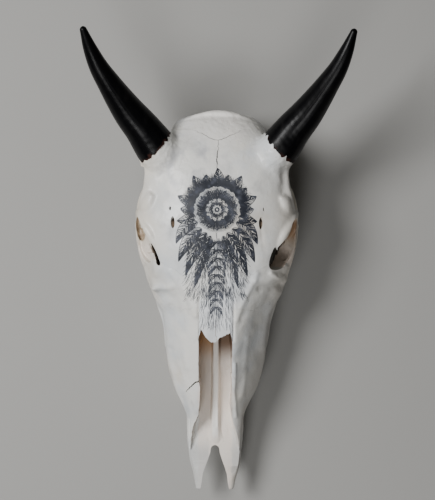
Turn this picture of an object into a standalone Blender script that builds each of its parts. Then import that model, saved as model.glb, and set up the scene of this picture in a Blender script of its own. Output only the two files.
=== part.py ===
"""Skull of a young wildebeest without its lower jaw, resting on its cheek teeth and skull base.

Metres, +Z up. The nose points along -Y and the animal's left side lies at +X. The bone is
modelled whole, then parted into its bones by thin cuts along the sutures.
"""

import math

import bmesh
import bpy
import numpy as np
from mathutils import Matrix, Vector

SUTURE_GAP = 0.0003
FORE_AFT_SHIFT = 0.0183

FUSE_VOXEL = 0.0014
FUSE_SMOOTHING = 7
HORN_BASE_SMOOTHING = 46
CARVED_VOXEL = 0.0012
CARVED_SMOOTHING = 3
BONE_TRIANGLES = 7200

RING_POINTS = 64
STATION_STEP = 0.003

# Half-sections of the skull from the jaw tips to the back of the head. After y come x and z of
# the crown line, crown slope, shoulder, brow or side edge, flank, cheek, gum, palate edge, base line.
SECTIONS = (
    (-0.252, ((0, 0.0385), (0.006, 0.0385), (0.012, 0.0385), (0.017, 0.038), (0.0198, 0.0365),
              (0.0202, 0.035), (0.0192, 0.0332), (0.012, 0.0325), (0, 0.0325))),
    (-0.240, ((0, 0.041), (0.008, 0.041), (0.015, 0.041), (0.0195, 0.040), (0.0215, 0.0375),
              (0.0217, 0.0355), (0.0205, 0.033), (0.012, 0.0315), (0, 0.0315))),
    (-0.228, ((0, 0.0435), (0.009, 0.0435), (0.018, 0.043), (0.0225, 0.0415), (0.0246, 0.0385),
              (0.0248, 0.036), (0.0235, 0.033), (0.013, 0.031), (0, 0.031))),
    (-0.208, ((0, 0.048), (0.010, 0.048), (0.020, 0.047), (0.025, 0.045), (0.0275, 0.0415),
              (0.0282, 0.038), (0.0265, 0.034), (0.014, 0.031), (0, 0.031))),
    (-0.188, ((0, 0.057), (0.011, 0.0565), (0.0205, 0.055), (0.026, 0.051), (0.029, 0.0455),
              (0.0298, 0.040), (0.028, 0.0345), (0.015, 0.0315), (0, 0.0315))),
    (-0.170, ((0, 0.0675), (0.011, 0.067), (0.020, 0.065), (0.026, 0.0595), (0.0295, 0.0515),
              (0.031, 0.043), (0.029, 0.033), (0.016, 0.0315), (0, 0.0315))),
    (-0.158, ((0, 0.0755), (0.011, 0.075), (0.020, 0.0725), (0.027, 0.0655), (0.0325, 0.055),
              (0.0365, 0.044), (0.034, 0.019), (0.021, 0.022), (0, 0.0315))),
    (-0.145, ((0, 0.083), (0.012, 0.0825), (0.0205, 0.080), (0.029, 0.0715), (0.037, 0.059),
              (0.0425, 0.046), (0.040, 0.0155), (0.025, 0.018), (0, 0.0315))),
    (-0.125, ((0, 0.0930), (0.013, 0.0925), (0.021, 0.0895), (0.031, 0.079), (0.041, 0.0645),
              (0.049, 0.048), (0.0465, 0.014), (0.029, 0.017), (0, 0.031))),
    (-0.105, ((0, 0.1015), (0.014, 0.101), (0.022, 0.097), (0.033, 0.085), (0.044, 0.0685),
              (0.0515, 0.051), (0.0475, 0.014), (0.030, 0.017), (0, 0.031))),
    (-0.085, ((0, 0.109), (0.015, 0.1085), (0.023, 0.1045), (0.035, 0.092), (0.047, 0.074),
              (0.0530, 0.055), (0.048, 0.014), (0.030, 0.017), (0, 0.031))),
    (-0.065, ((0, 0.115), (0.016, 0.1145), (0.026, 0.110), (0.040, 0.098), (0.0495, 0.080),
              (0.0560, 0.061), (0.048, 0.015), (0.029, 0.018), (0, 0.032))),
    (-0.050, ((0, 0.119), (0.018, 0.1185), (0.031, 0.114), (0.046, 0.103), (0.057, 0.086),
              (0.0635, 0.067), (0.047, 0.019), (0.028, 0.021), (0, 0.033))),
    (-0.030, ((0, 0.1245), (0.022, 0.124), (0.040, 0.1195), (0.056, 0.108), (0.067, 0.091),
              (0.071, 0.073), (0.046, 0.044), (0.026, 0.029), (0, 0.036))),
    (-0.015, ((0, 0.128), (0.025, 0.1275), (0.046, 0.122), (0.061, 0.111), (0.071, 0.093),
              (0.0755, 0.076), (0.050, 0.054), (0.024, 0.035), (0, 0.040))),
    (0.000, ((0, 0.1305), (0.028, 0.130), (0.050, 0.124), (0.066, 0.112), (0.075, 0.093),
             (0.0795, 0.075), (0.052, 0.059), (0.022, 0.039), (0, 0.043))),
    (0.015, ((0, 0.132), (0.030, 0.131), (0.056, 0.1235), (0.073, 0.111), (0.078, 0.093),
             (0.0800, 0.075), (0.053, 0.062), (0.022, 0.043), (0, 0.045))),
    (0.030, ((0, 0.133), (0.032, 0.132), (0.062, 0.122), (0.0785, 0.1085), (0.0795, 0.092),
             (0.0800, 0.076), (0.054, 0.063), (0.022, 0.045), (0, 0.046))),
    (0.042, ((0, 0.133), (0.032, 0.132), (0.061, 0.121), (0.0765, 0.1075), (0.068, 0.096),
             (0.050, 0.080), (0.041, 0.060), (0.023, 0.045), (0, 0.046))),
    (0.060, ((0, 0.1325), (0.032, 0.1315), (0.058, 0.121), (0.0745, 0.107), (0.062, 0.098),
             (0.044, 0.082), (0.042, 0.060), (0.026, 0.043), (0, 0.044))),
    (0.075, ((0, 0.1305), (0.032, 0.130), (0.056, 0.1215), (0.0737, 0.110), (0.061, 0.098),
             (0.047, 0.082), (0.047, 0.060), (0.033, 0.040), (0, 0.040))),
    (0.088, ((0, 0.128), (0.030, 0.1275), (0.053, 0.1215), (0.0715, 0.111), (0.060, 0.098),
             (0.051, 0.082), (0.049, 0.058), (0.033, 0.037), (0, 0.036))),
    (0.100, ((0, 0.1245), (0.026, 0.124), (0.043, 0.121), (0.056, 0.113), (0.056, 0.096),
             (0.051, 0.080), (0.048, 0.057), (0.032, 0.035), (0, 0.033))),
    (0.112, ((0, 0.118), (0.022, 0.1175), (0.038, 0.1140), (0.048, 0.107), (0.050, 0.092),
             (0.050, 0.078), (0.046, 0.055), (0.030, 0.035), (0, 0.032))),
    (0.124, ((0, 0.110), (0.018, 0.109), (0.032, 0.104), (0.042, 0.096), (0.047, 0.084),
             (0.047, 0.072), (0.042, 0.052), (0.026, 0.036), (0, 0.034))),
    (0.134, ((0, 0.100), (0.014, 0.099), (0.024, 0.095), (0.033, 0.088), (0.038, 0.079),
             (0.038, 0.068), (0.034, 0.052), (0.020, 0.040), (0, 0.038))),
    (0.1395, ((0, 0.092), (0.009, 0.0915), (0.016, 0.088), (0.022, 0.083), (0.026, 0.076),
              (0.026, 0.068), (0.022, 0.056), (0.014, 0.048), (0, 0.046))),
)

# Landmarks round the bony rim of the eye socket, from its top backwards.
ORBIT_RIM = ((0.0655, 0.013, 0.1165), (0.0755, 0.030, 0.1085), (0.0780, 0.0375, 0.093),
             (0.0790, 0.031, 0.077), (0.0785, 0.011, 0.071), (0.0730, -0.008, 0.075),
             (0.0590, -0.0205, 0.088), (0.0545, -0.0085, 0.1065))
ORBIT_RIM_RADIUS = 0.0048
ORBIT_CENTRE = (0.058, 0.011, 0.0945)
ORBIT_AXIS = (0.87, -0.42, 0.30)
ORBIT_RADII = (0.031, 0.0225, 0.0215)

# The sockets are not alike. The right one's cheekbone runs flush up to the brow, with a recess
# and a narrow slit beside it; on the left a wide crescent is open.
CHEEK_FACE = ((0.0765, 0.013, 0.0795), (0.0728, 0.001, 0.0820), (0.0662, -0.009, 0.0870),
              (0.0590, -0.0155, 0.0955))
CHEEK_FACE_HALF_WIDTHS = (0.005, 0.0085, 0.0085, 0.005)
CHEEK_FACE_HALF_THICKNESSES = (0.002, 0.0032, 0.0032, 0.002)
CHEEK_FACE_OUTWARD = (0.85, -0.25, 0.45)
RIGHT_RECESS = ((0.0808, 0.0318, 0.083), (0.0792, 0.0284, 0.076), (0.0770, 0.0203, 0.0750),
                (0.0754, 0.0137, 0.0785), (0.0730, 0.0085, 0.0845), (0.0765, 0.0065, 0.0815),
                (0.0796, 0.0105, 0.0795), (0.0814, 0.0162, 0.079), (0.0819, 0.0223, 0.079),
                (0.0819, 0.0284, 0.080), (0.0815, 0.0315, 0.082))
LEFT_CRESCENT = ((0.0800, 0.0330, 0.085), (0.0764, 0.0284, 0.076), (0.0740, 0.0203, 0.073),
                 (0.0705, 0.0132, 0.072), (0.0649, 0.0071, 0.072), (0.0606, 0.0002, 0.072),
                 (0.0583, 0.0034, 0.072), (0.0550, -0.0025, 0.073), (0.0526, -0.0115, 0.078),
                 (0.0530, -0.0170, 0.092), (0.0560, -0.0195, 0.105), (0.0615, -0.0195, 0.106),
                 (0.0669, -0.0173, 0.101), (0.0705, -0.0130, 0.093), (0.0732, -0.0065, 0.085),
                 (0.0758, 0.0010, 0.0800), (0.0783, 0.0091, 0.0788), (0.0803, 0.0183, 0.0788),
                 (0.0814, 0.0264, 0.0805), (0.0812, 0.0315, 0.084))
RIGHT_SLIT = ((0.0658, 0.0082, 0.094), (0.0646, 0.0045, 0.094), (0.0615, -0.0040, 0.094),
              (0.0590, -0.0105, 0.094), (0.0568, -0.0165, 0.094))
RIGHT_SLIT_HALF_WIDTHS = (0.0010, 0.0017, 0.0024, 0.0024, 0.0014)
LEFT_SLIT = ((0.0592, 0.0030, 0.087), (0.0566, -0.0040, 0.086), (0.0550, -0.0100, 0.086),
             (0.0545, -0.0155, 0.088))
LEFT_SLIT_HALF_WIDTHS = (0.0012, 0.0022, 0.0020, 0.0010)

HORN_PATH = ((0.0617, 0.1024, 0.1135), (0.0750, 0.1205, 0.1205), (0.0871, 0.1348, 0.1285),
             (0.0978, 0.1492, 0.1385), (0.1070, 0.1627, 0.1485), (0.1166, 0.1776, 0.158),
             (0.1248, 0.1952, 0.167), (0.1308, 0.2118, 0.1735))
HORN_RADII = (0.0212, 0.0185, 0.0166, 0.0142, 0.0119, 0.0097, 0.0069, 0.0037)
HORN_SIDES = 16
HORN_RINGS = 14

HORN_BASE = (0.0610, 0.1035, 0.1150)
HORN_BASE_NORMAL = (0.70, 0.66, 0.25)

# Nasal cavity: y, half width, floor height, top height, floor width as a share.
CAVITY = (
    (-0.060, 0.0125, 0.060, 0.098, 0.6),
    (-0.072, 0.0150, 0.050, 0.1025, 0.75),
    (-0.088, 0.0160, 0.0435, 0.1035, 0.85),
    (-0.1075, 0.0172, 0.042, 0.098, 0.92),
    (-0.136, 0.0174, 0.041, 0.2, 0.94),
    (-0.160, 0.0162, 0.041, 0.2, 0.96),
    (-0.171, 0.0176, 0.041, 0.2, 0.94),
    (-0.179, 0.0208, 0.041, 0.2, 0.9),
    (-0.189, 0.0240, 0.041, 0.2, 0.88),
    (-0.200, 0.0252, 0.0415, 0.2, 0.9),
    (-0.2125, 0.0268, 0.0425, 0.2, 1),
    (-0.235, 0.030, 0.0415, 0.2, 1),
    (-0.262, 0.030, 0.039, 0.2, 1),
)
# Plan of the cavity's opening under the ragged nasal ends, then of its left edge going back.
APERTURE = ((-0.0174, -0.140), (0.0174, -0.140), (0.0174, -0.0935), (0.0150, -0.0835), (0.0125, -0.0850),
            (0.0040, -0.0885), (-0.0015, -0.0930))
APERTURE_LEFT = ((0.0174, -0.0935), (0.0158, -0.0800), (0.0070, -0.0920), (0.0030, -0.0935))
NOTCH = ((0.0180, -0.262), (0.0150, -0.2505), (0.0126, -0.2345), (0.0088, -0.2238), (0.0046, -0.2125),
         (0.0038, -0.2068), (0.0, -0.2046))
# Vomer: y, half width, foot height, top height.
VOMER = ((-0.070, 0.0030, 0.053, 0.058), (-0.090, 0.0031, 0.0405, 0.0515), (-0.130, 0.0031, 0.039, 0.0480),
         (-0.170, 0.0032, 0.039, 0.0455), (-0.188, 0.0039, 0.039, 0.0440), (-0.203, 0.0052, 0.0395, 0.0420))

# Regions of the bones: view, outline, inner plane and its slope along y, outer limit.
FRONTAL = ("plan", ((0, 0.110), (0, -0.008), (0.010, -0.022), (0.0175, -0.042), (0.030, -0.028),
                    (0.045, -0.018), (0.056, -0.0125), (0.1, -0.006), (0.1, 0.135), (0.062, 0.132),
                    (0.040, 0.1215), (0.024, 0.1205), (0.010, 0.1145)), (0.0955, -0.0625), 0.2)
NASAL = ("plan", ((0, -0.110), (0.0172, -0.110), (0.0172, -0.005), (0, -0.005)), (0.1233, 0.27), 0.2)
LACRIMAL = ("flank", ((-0.004, 0.0845), (-0.004, 0.14), (-0.054, 0.14), (-0.061, 0.105), (-0.052, 0.0875)),
            (0.0172, 0), 0.1)
ZYGOMATIC = ("flank", ((-0.064, 0.071), (-0.054, 0.0862), (-0.012, 0.0838), (0.000, 0.090), (0.015, 0.1),
                       (0.047, 0.1), (0.062, 0.079), (0.052, 0.062), (0.040, 0.050), (-0.020, 0.050),
                       (-0.050, 0.055)), (0.0605, 0.11), 0.1)
MAXILLA = ("flank", ((-0.3, -0.05), (-0.034, -0.05), (-0.034, 0.030), (-0.030, 0.060), (-0.022, 0.084),
                     (-0.012, 0.1), (-0.012, 0.15), (-0.3, 0.15)), (0, 0), 0.1)
OCCIPUT = ("flank", ((0.160, 0.101), (0.131, 0.1), (0.108, 0.080), (0.094, 0.060), (0.092, 0.030),
                     (0.088, -0.05), (0.160, -0.05)), (-0.1, 0), 0.1)

TOOTH_SIZES = ((0.0095, 0.0095), (0.0122, 0.0122), (0.0128, 0.0142), (0.0190, 0.0165), (0.0222, 0.0178),
               (0.0222, 0.0165))
TOOTH_GAP = 0.0002
TOOTH_ROW_FRONT = -0.1585
TOOTH_ROW_Y = (-0.160, -0.140, -0.120, -0.100, -0.080, -0.055)
TOOTH_ROW_X = (0.0275, 0.0335, 0.0370, 0.0390, 0.0392, 0.0380)
# Share of half width at even steps along a tooth: ribs of the cheek side, lobes of the tongue side.
TOOTH_RIBS = (0.86, 0.80, 0.97, 0.80, 0.86)
TOOTH_LOBES = (0.72, 1.0, 0.70, 1.0, 0.72)
# Height and share of full size of each ring of a tooth, from the root to the worn middle.
TOOTH_LEVELS = ((0.024, 0.86), (0.010, 0.97), (0.0022, 1.0), (0.0, 0.88), (0.0020, 0.52))

BONE_WHITE = (0.78, 0.75, 0.69)
HORN_BLACK = (0.02, 0.018, 0.017)


def clear_scene():
    for obj in list(bpy.data.objects):
        bpy.data.objects.remove(obj, do_unlink=True)


def new_collection(name):
    made = bpy.data.collections.new(name)
    bpy.context.scene.collection.children.link(made)
    return made


def link(name, mesh, collection):
    obj = bpy.data.objects.new(name, mesh)
    collection.objects.link(obj)
    if collection.hide_render:
        obj.hide_render = True
        obj.display_type = "WIRE"
    return obj


def smooth_line(knots, values, at):
    """Cubic through values at knots, read at the places given."""
    knots, values, at = (np.asarray(a, float) for a in (knots, values, at))
    steps = np.diff(knots)
    shape = (-1,) + (1,) * (values.ndim - 1)
    slopes = np.diff(values, axis=0) / steps.reshape(shape)
    before, after = steps[:-1].reshape(shape), steps[1:].reshape(shape)
    inner = (slopes[:-1] * after + slopes[1:] * before) / (before + after)
    tangents = np.concatenate([slopes[:1], inner, slopes[-1:]])
    i = np.clip(np.searchsorted(knots, at, side="right") - 1, 0, len(steps) - 1)
    h = steps[i].reshape(shape)
    t = ((at - knots[i]) / steps[i]).reshape(shape)
    return (
        values[i] * (1 + 2 * t) * (1 - t) ** 2
        + tangents[i] * h * t * (1 - t) ** 2
        + values[i + 1] * t * t * (3 - 2 * t)
        + tangents[i + 1] * h * t * t * (t - 1)
    )


def smooth_loop(points, count):
    """count points on a smooth closed line through the given ones."""
    n = len(points)
    wrapped = np.array([points[i % n] for i in range(-2, n + 3)], float)
    knots = np.arange(-2, n + 3)
    return smooth_line(knots, wrapped, np.arange(count) * n / count)


def eased(low, high, value):
    """Rise smoothly from 0 to 1 as the value passes from low to high."""
    t = np.clip((value - low) / (high - low), 0, 1)
    return t * t * (3 - 2 * t)


def loft(name, rings, collection):
    """Closed solid through rings of equally many points, capped at both ends."""
    shape = bmesh.new()
    levels = [[shape.verts.new(p) for p in ring] for ring in rings]
    count = len(levels[0])
    for low, high in zip(levels, levels[1:]):
        for i in range(count):
            j = (i + 1) % count
            shape.faces.new((low[i], low[j], high[j], high[i]))
    shape.faces.new(levels[0])
    shape.faces.new(levels[-1])
    bmesh.ops.recalc_face_normals(shape, faces=shape.faces)
    mesh = bpy.data.meshes.new(name)
    shape.to_mesh(mesh)
    shape.free()
    return link(name, mesh, collection)


def swept(name, path, widths, heights, collection, sides=14, rings=24, up=(0, 0, 1),
          rounded=False):
    """Tapering bar along a smooth path, with oval sections widths across and heights along up."""
    path = np.array(path, float)
    spans = np.linalg.norm(np.diff(path, axis=0), axis=1)
    knots = np.concatenate([[0], np.cumsum(spans)])
    at = np.linspace(0, knots[-1], rings)
    centres = smooth_line(knots, path, at)
    half_w = smooth_line(knots, np.broadcast_to(widths, len(path)), at)
    half_h = smooth_line(knots, np.broadcast_to(heights, len(path)), at)
    ahead = np.gradient(centres, axis=0)
    if rounded:
        tip = ahead[-1] / np.linalg.norm(ahead[-1]) * half_w[-1]
        centres = np.vstack([centres, centres[-1] + 0.55 * tip, centres[-1] + 0.85 * tip])
        ahead = np.vstack([ahead, ahead[-1], ahead[-1]])
        half_w, half_h = (np.append(half, [half[-1] * 0.83, half[-1] * 0.45]) for half in (half_w, half_h))
    made = []
    for centre, direction, w, h in zip(centres, ahead, half_w, half_h):
        direction = direction / np.linalg.norm(direction)
        across = np.cross(direction, up)
        across /= np.linalg.norm(across)
        rise = np.cross(across, direction)
        turn = np.arange(sides) * 2 * math.pi / sides
        made.append(centre + np.outer(np.cos(turn) * w, across) + np.outer(np.sin(turn) * h, rise))
    return loft(name, made, collection)


def ring_bar(name, points, radius, collection, count=48, sides=12):
    """Closed round bar through the landmarks given."""
    line = smooth_loop(points, count)
    centre = line.mean(axis=0)
    shape = bmesh.new()
    levels = []
    for i in range(count):
        direction = line[(i + 1) % count] - line[i - 1]
        direction /= np.linalg.norm(direction)
        outward = line[i] - centre
        outward -= direction * outward.dot(direction)
        outward /= np.linalg.norm(outward)
        side = np.cross(direction, outward)
        turn = np.arange(sides) * 2 * math.pi / sides
        ring = line[i] + radius * (np.outer(np.cos(turn), outward) + np.outer(np.sin(turn), side))
        levels.append([shape.verts.new(p) for p in ring])
    for i in range(count):
        low, high = levels[i], levels[(i + 1) % count]
        for k in range(sides):
            m = (k + 1) % sides
            shape.faces.new((low[k], low[m], high[m], high[k]))
    bmesh.ops.recalc_face_normals(shape, faces=shape.faces)
    mesh = bpy.data.meshes.new(name)
    shape.to_mesh(mesh)
    shape.free()
    return link(name, mesh, collection)


def ellipsoid(name, centre, radii, collection, turn=None, segments=32):
    """Sphere stretched to three radii, then turned by a 3x3 matrix and moved to its centre."""
    shape = bmesh.new()
    bmesh.ops.create_uvsphere(shape, u_segments=segments, v_segments=segments // 2, radius=1)
    place = Matrix.Diagonal((*radii, 1))
    if turn is not None:
        place = turn.to_4x4() @ place
    bmesh.ops.transform(shape, matrix=Matrix.Translation(centre) @ place, verts=shape.verts)
    mesh = bpy.data.meshes.new(name)
    shape.to_mesh(mesh)
    shape.free()
    return link(name, mesh, collection)


def facing(axis, up=(0, 0, 1)):
    """Rotation whose first column points along axis and whose third is as near up as can be."""
    first = Vector(axis).normalized()
    second = Vector(up).cross(first).normalized()
    third = first.cross(second)
    return Matrix((first, second, third)).transposed()


def on_side(point, side):
    return (point[0] * side, point[1], point[2])


def applied(obj):
    """The object's mesh with its modifiers applied and loosened from them."""
    graph = bpy.context.evaluated_depsgraph_get()
    mesh = bpy.data.meshes.new_from_object(obj.evaluated_get(graph))
    obj.modifiers.clear()
    old = obj.data
    obj.data = mesh
    bpy.data.meshes.remove(old)
    return obj


def remove_all(collection):
    for obj in list(collection.objects):
        bpy.data.objects.remove(obj, do_unlink=True)


def fused(name, collection, voxel, smoothing):
    """One closed body from all the pieces of a collection, with softened joins."""
    shape = bmesh.new()
    for piece in collection.objects:
        shape.from_mesh(piece.data)
    mesh = bpy.data.meshes.new(name)
    shape.to_mesh(mesh)
    shape.free()
    remove_all(collection)
    body = link(name, mesh, collection)
    remesh(body, voxel, smoothing)
    return body


def remesh(body, voxel, smoothing):
    even = body.modifiers.new("Remesh", "REMESH")
    even.mode = "VOXEL"
    even.voxel_size = voxel
    soft = body.modifiers.new("Smooth", "SMOOTH")
    soft.factor = 0.5
    soft.iterations = smoothing
    return applied(body)


def cut(body, tool, operation="DIFFERENCE", solver="EXACT"):
    """Boolean of the body with one object."""
    boolean = body.modifiers.new("Cut", "BOOLEAN")
    boolean.operation = operation
    boolean.solver = solver
    boolean.object = tool
    return applied(body)


def cut_with_all(body, cutters, operation="DIFFERENCE", solver="EXACT"):
    """Boolean of the body with each object of a collection in turn, which empties the collection."""
    for cutter in list(cutters.objects):
        cut(body, cutter, operation, solver)
        bpy.data.objects.remove(cutter, do_unlink=True)


def skull_body(collection):
    """Main loft of face, forehead and braincase."""
    stations = np.array([y for y, _ in SECTIONS])
    rings = []
    for y, half in SECTIONS:
        other = [(-x, z) for x, z in half[-2:0:-1]]
        around = smooth_loop(list(half) + other, RING_POINTS)
        rings.append(np.column_stack([around[:, 0], np.full(RING_POINTS, y), around[:, 1]]))
    count = round((stations[-1] - stations[0]) / STATION_STEP)
    at = np.linspace(stations[0], stations[-1], count)
    return loft("skull_body", smooth_line(stations, np.array(rings), at), collection)


def add_side_masses(side, collection):
    """Rims, arches and processes that stand out of the main loft on one side."""
    label = "left" if side > 0 else "right"
    rim = [on_side(p, side) for p in ORBIT_RIM]
    ring_bar(f"orbit_rim_{label}", rim, ORBIT_RIM_RADIUS, collection)
    arch = ((0.078, 0.022, 0.0725), (0.0795, 0.036, 0.071), (0.077, 0.052, 0.066),
            (0.070, 0.067, 0.061), (0.060, 0.078, 0.058), (0.046, 0.088, 0.060))
    swept(f"arch_{label}", [on_side(p, side) for p in arch], (0.0045, 0.004, 0.004, 0.005, 0.008, 0.012),
          (0.0075, 0.007, 0.007, 0.0075, 0.008, 0.010), collection)
    pedicle = [on_side(p, side) for p in ((0.030, 0.072, 0.088), (0.0465, 0.088, 0.1005), HORN_PATH[0],
                                          (0.0675, 0.1092, 0.1162))]
    swept(f"pedicle_{label}", pedicle, (0.0235, 0.0232, 0.0212, 0.0206), (0.0225, 0.0228, 0.0210, 0.0204),
          collection, sides=24)
    ellipsoid(f"condyle_{label}", on_side((0.0165, 0.126, 0.034), side), (0.0105, 0.016, 0.015), collection,
              Matrix.Rotation(math.radians(-14 * side), 3, "Z"))
    process = ((0.036, 0.095, 0.056), (0.0385, 0.104, 0.036), (0.0370, 0.1085, 0.017),
               (0.0345, 0.111, -0.003))
    swept(f"process_{label}", [on_side(p, side) for p in process], (0.010, 0.0075, 0.0056, 0.0044),
          (0.016, 0.0135, 0.0095, 0.0062), collection, up=(0, 1, 0))
    ellipsoid(f"bulla_{label}", on_side((0.0245, 0.080, 0.0265), side), (0.010, 0.016, 0.0135), collection)
    ellipsoid(f"mastoid_{label}", on_side((0.045, 0.099, 0.056), side), (0.009, 0.014, 0.018), collection)
    ear = ((0.030, 0.083, 0.050), (0.046, 0.084, 0.053), (0.053, 0.085, 0.055))
    swept(f"ear_tube_{label}", [on_side(p, side) for p in ear], 0.0065, 0.0065, collection, rings=8)
    ellipsoid(f"glenoid_{label}", on_side((0.050, 0.070, 0.055), side), (0.014, 0.009, 0.006), collection)
    crest = ((0.066, -0.024, 0.069), (0.0603, -0.048, 0.062), (0.0530, -0.075, 0.055),
             (0.0490, -0.100, 0.049))
    swept(f"cheek_crest_{label}", [on_side(p, side) for p in crest], 0.004, 0.0042, collection)
    wing = ((0.0185, -0.044, 0.030), (0.0165, -0.024, 0.029), (0.015, -0.004, 0.030),
            (0.0155, 0.014, 0.034), (0.018, 0.032, 0.042))
    swept(f"pterygoid_{label}", [on_side(p, side) for p in wing], 0.0026,
          (0.013, 0.014, 0.013, 0.011, 0.007), collection)
    tuber = (0.036, -0.046, 0.031)
    ellipsoid(f"tuber_{label}", on_side(tuber, side), (0.012, 0.014, 0.014), collection)


def add_midline_masses(collection):
    crest = ((-0.047, 0.112, 0.078), (-0.040, 0.125, 0.086), (-0.022, 0.1345, 0.092), (0, 0.1385, 0.0945),
             (0.022, 0.1345, 0.092), (0.040, 0.125, 0.086), (0.047, 0.112, 0.078))
    swept("nuchal_crest", crest, 0.0036, 0.0042, collection, rings=40)
    base = ((0, 0.128, 0.036), (0, 0.105, 0.035), (0, 0.075, 0.036), (0, 0.040, 0.042), (0, 0.010, 0.048))
    swept("skull_base", base, (0.013, 0.014, 0.012, 0.010, 0.009), (0.007, 0.007, 0.007, 0.007, 0.007),
          collection)


def add_soft_cutters(collection):
    """Hollows whose edges are rounded over: eye sockets, temple openings, throat opening, nape opening."""
    for side, label in ((1, "left"), (-1, "right")):
        axis = on_side(ORBIT_AXIS, side)
        ellipsoid(f"orbit_{label}", on_side(ORBIT_CENTRE, side), ORBIT_RADII, collection, facing(axis))
        tunnel = ((0.054, 0.000, 0.088), (0.057, 0.024, 0.087), (0.0585, 0.046, 0.083),
                  (0.060, 0.064, 0.079))
        swept(f"temple_{label}", [on_side(p, side) for p in tunnel], (0.010, 0.0135, 0.0135, 0.010),
              (0.012, 0.0135, 0.0135, 0.010), collection)
        below = ((0.046, -0.028, 0.041), (0.048, -0.008, 0.049), (0.0495, 0.012, 0.057),
                 (0.053, 0.034, 0.063), (0.058, 0.056, 0.069))
        swept(f"under_orbit_{label}", [on_side(p, side) for p in below],
              (0.009, 0.0145, 0.0165, 0.0135, 0.009), (0.009, 0.014, 0.0185, 0.0175, 0.011), collection)
    throat = ((0, -0.060, 0.041), (0, -0.044, 0.037), (0, -0.024, 0.031), (0, 0.000, 0.024),
              (0, 0.030, 0.018))
    swept("throat", throat, (0.011, 0.0128, 0.0118, 0.0108, 0.012), (0.006, 0.010, 0.014, 0.016, 0.016),
          collection)
    nape = ((0, 0.100, 0.051), (0, 0.120, 0.050), (0, 0.135, 0.047), (0, 0.152, 0.044))
    swept("nape_opening", nape, (0.006, 0.0095, 0.0115, 0.013), (0.006, 0.0085, 0.0095, 0.011), collection)


def outline_swollen(points, swell):
    """A plane outline moved outwards by swell, with its corners mitred."""
    ring = np.array(points, float)
    area = np.sum(ring[:, 0] * np.roll(ring[:, 1], -1) - np.roll(ring[:, 0], -1) * ring[:, 1])
    if area < 0:
        ring = ring[::-1]
    after = np.roll(ring, -1, axis=0) - ring
    after /= np.linalg.norm(after, axis=1)[:, None]
    normal = np.column_stack([after[:, 1], -after[:, 0]])
    before = np.roll(normal, 1, axis=0)
    mitre = normal + before
    mitre /= np.sum(mitre * normal, axis=1)[:, None]
    return ring + mitre * swell


def prism(name, region, swell, side, collection):
    """Straight solid over a region's outline, from its inner plane out past the bone.

    A plan region is drawn in x and y and reaches up; a flank region is drawn in y and z and
    reaches out to its side.
    """
    view, outline, (inner, slope), outer = region
    shape = bmesh.new()
    rings = ([], [])
    for u, v in outline_swollen(outline, swell):
        along = v if view == "plan" else u
        depth = inner + slope * along - swell * math.hypot(1, slope)
        for ring, d in zip(rings, (depth, outer)):
            point = (u, v, d) if view == "plan" else (d, u, v)
            ring.append(shape.verts.new(on_side(point, side)))
    shape.faces.new(rings[0])
    shape.faces.new(rings[1])
    for i in range(len(rings[0])):
        j = (i + 1) % len(rings[0])
        shape.faces.new((rings[0][i], rings[0][j], rings[1][j], rings[1][i]))
    bmesh.ops.recalc_face_normals(shape, faces=shape.faces)
    mesh = bpy.data.meshes.new(name)
    shape.to_mesh(mesh)
    shape.free()
    return link(name, mesh, collection)


def part_off(rest, regions, cutters, pieces):
    """Take each named region out of the rest, leaving a suture gap between them."""
    for name, (region, side) in regions.items():
        piece = link(name, rest.data.copy(), pieces)
        cut(piece, prism("inside", region, -SUTURE_GAP / 2, side, cutters), "INTERSECT", "MANIFOLD")
        remove_all(cutters)
        keep_largest(piece)
    for name, (region, side) in regions.items():
        cut(rest, prism("outside", region, SUTURE_GAP / 2, side, cutters), solver="MANIFOLD")
        remove_all(cutters)


def soften_horn_bases(body):
    """Smooth the bone round the horn bases once more, so that each pedicle flows into the forehead."""
    normal = np.array(HORN_BASE_NORMAL) / np.linalg.norm(HORN_BASE_NORMAL)
    points = np.array([vertex.co for vertex in body.data.vertices])
    away = np.column_stack([np.abs(points[:, 0]), points[:, 1:]]) - HORN_BASE
    below = -(away @ normal)
    weights = eased(0.0015, 0.009, below) * (1 - eased(0.030, 0.046, np.linalg.norm(away, axis=1)))
    weights *= points[:, 2] > 0.095
    group = body.vertex_groups.new(name="horn_bases")
    for i in np.flatnonzero(weights > 0.01):
        group.add([int(i)], float(weights[i]), "REPLACE")
    soft = body.modifiers.new("Smooth", "SMOOTH")
    soft.factor = 0.5
    soft.iterations = HORN_BASE_SMOOTHING
    soft.vertex_group = group.name
    applied(body)
    body.vertex_groups.clear()


def keep_largest(obj):
    """Drop all but the biggest closed surface of a mesh."""
    shape = bmesh.new()
    shape.from_mesh(obj.data)
    unseen = set(shape.verts)
    islands = []
    while unseen:
        island = {unseen.pop()}
        front = list(island)
        while front:
            near = {e.other_vert(v) for v in front for e in v.link_edges} - island
            island |= near
            front = list(near)
        unseen -= island
        islands.append(island)
    largest = max(islands, key=len)
    crumbs = [v for island in islands if island is not largest for v in island]
    bmesh.ops.delete(shape, geom=crumbs, context="VERTS")
    shape.to_mesh(obj.data)
    shape.free()


def simplified(body, triangles):
    count = sum(len(face.vertices) - 2 for face in body.data.polygons)
    fewer = body.modifiers.new("Decimate", "DECIMATE")
    fewer.ratio = triangles / count
    return applied(body)


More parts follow.
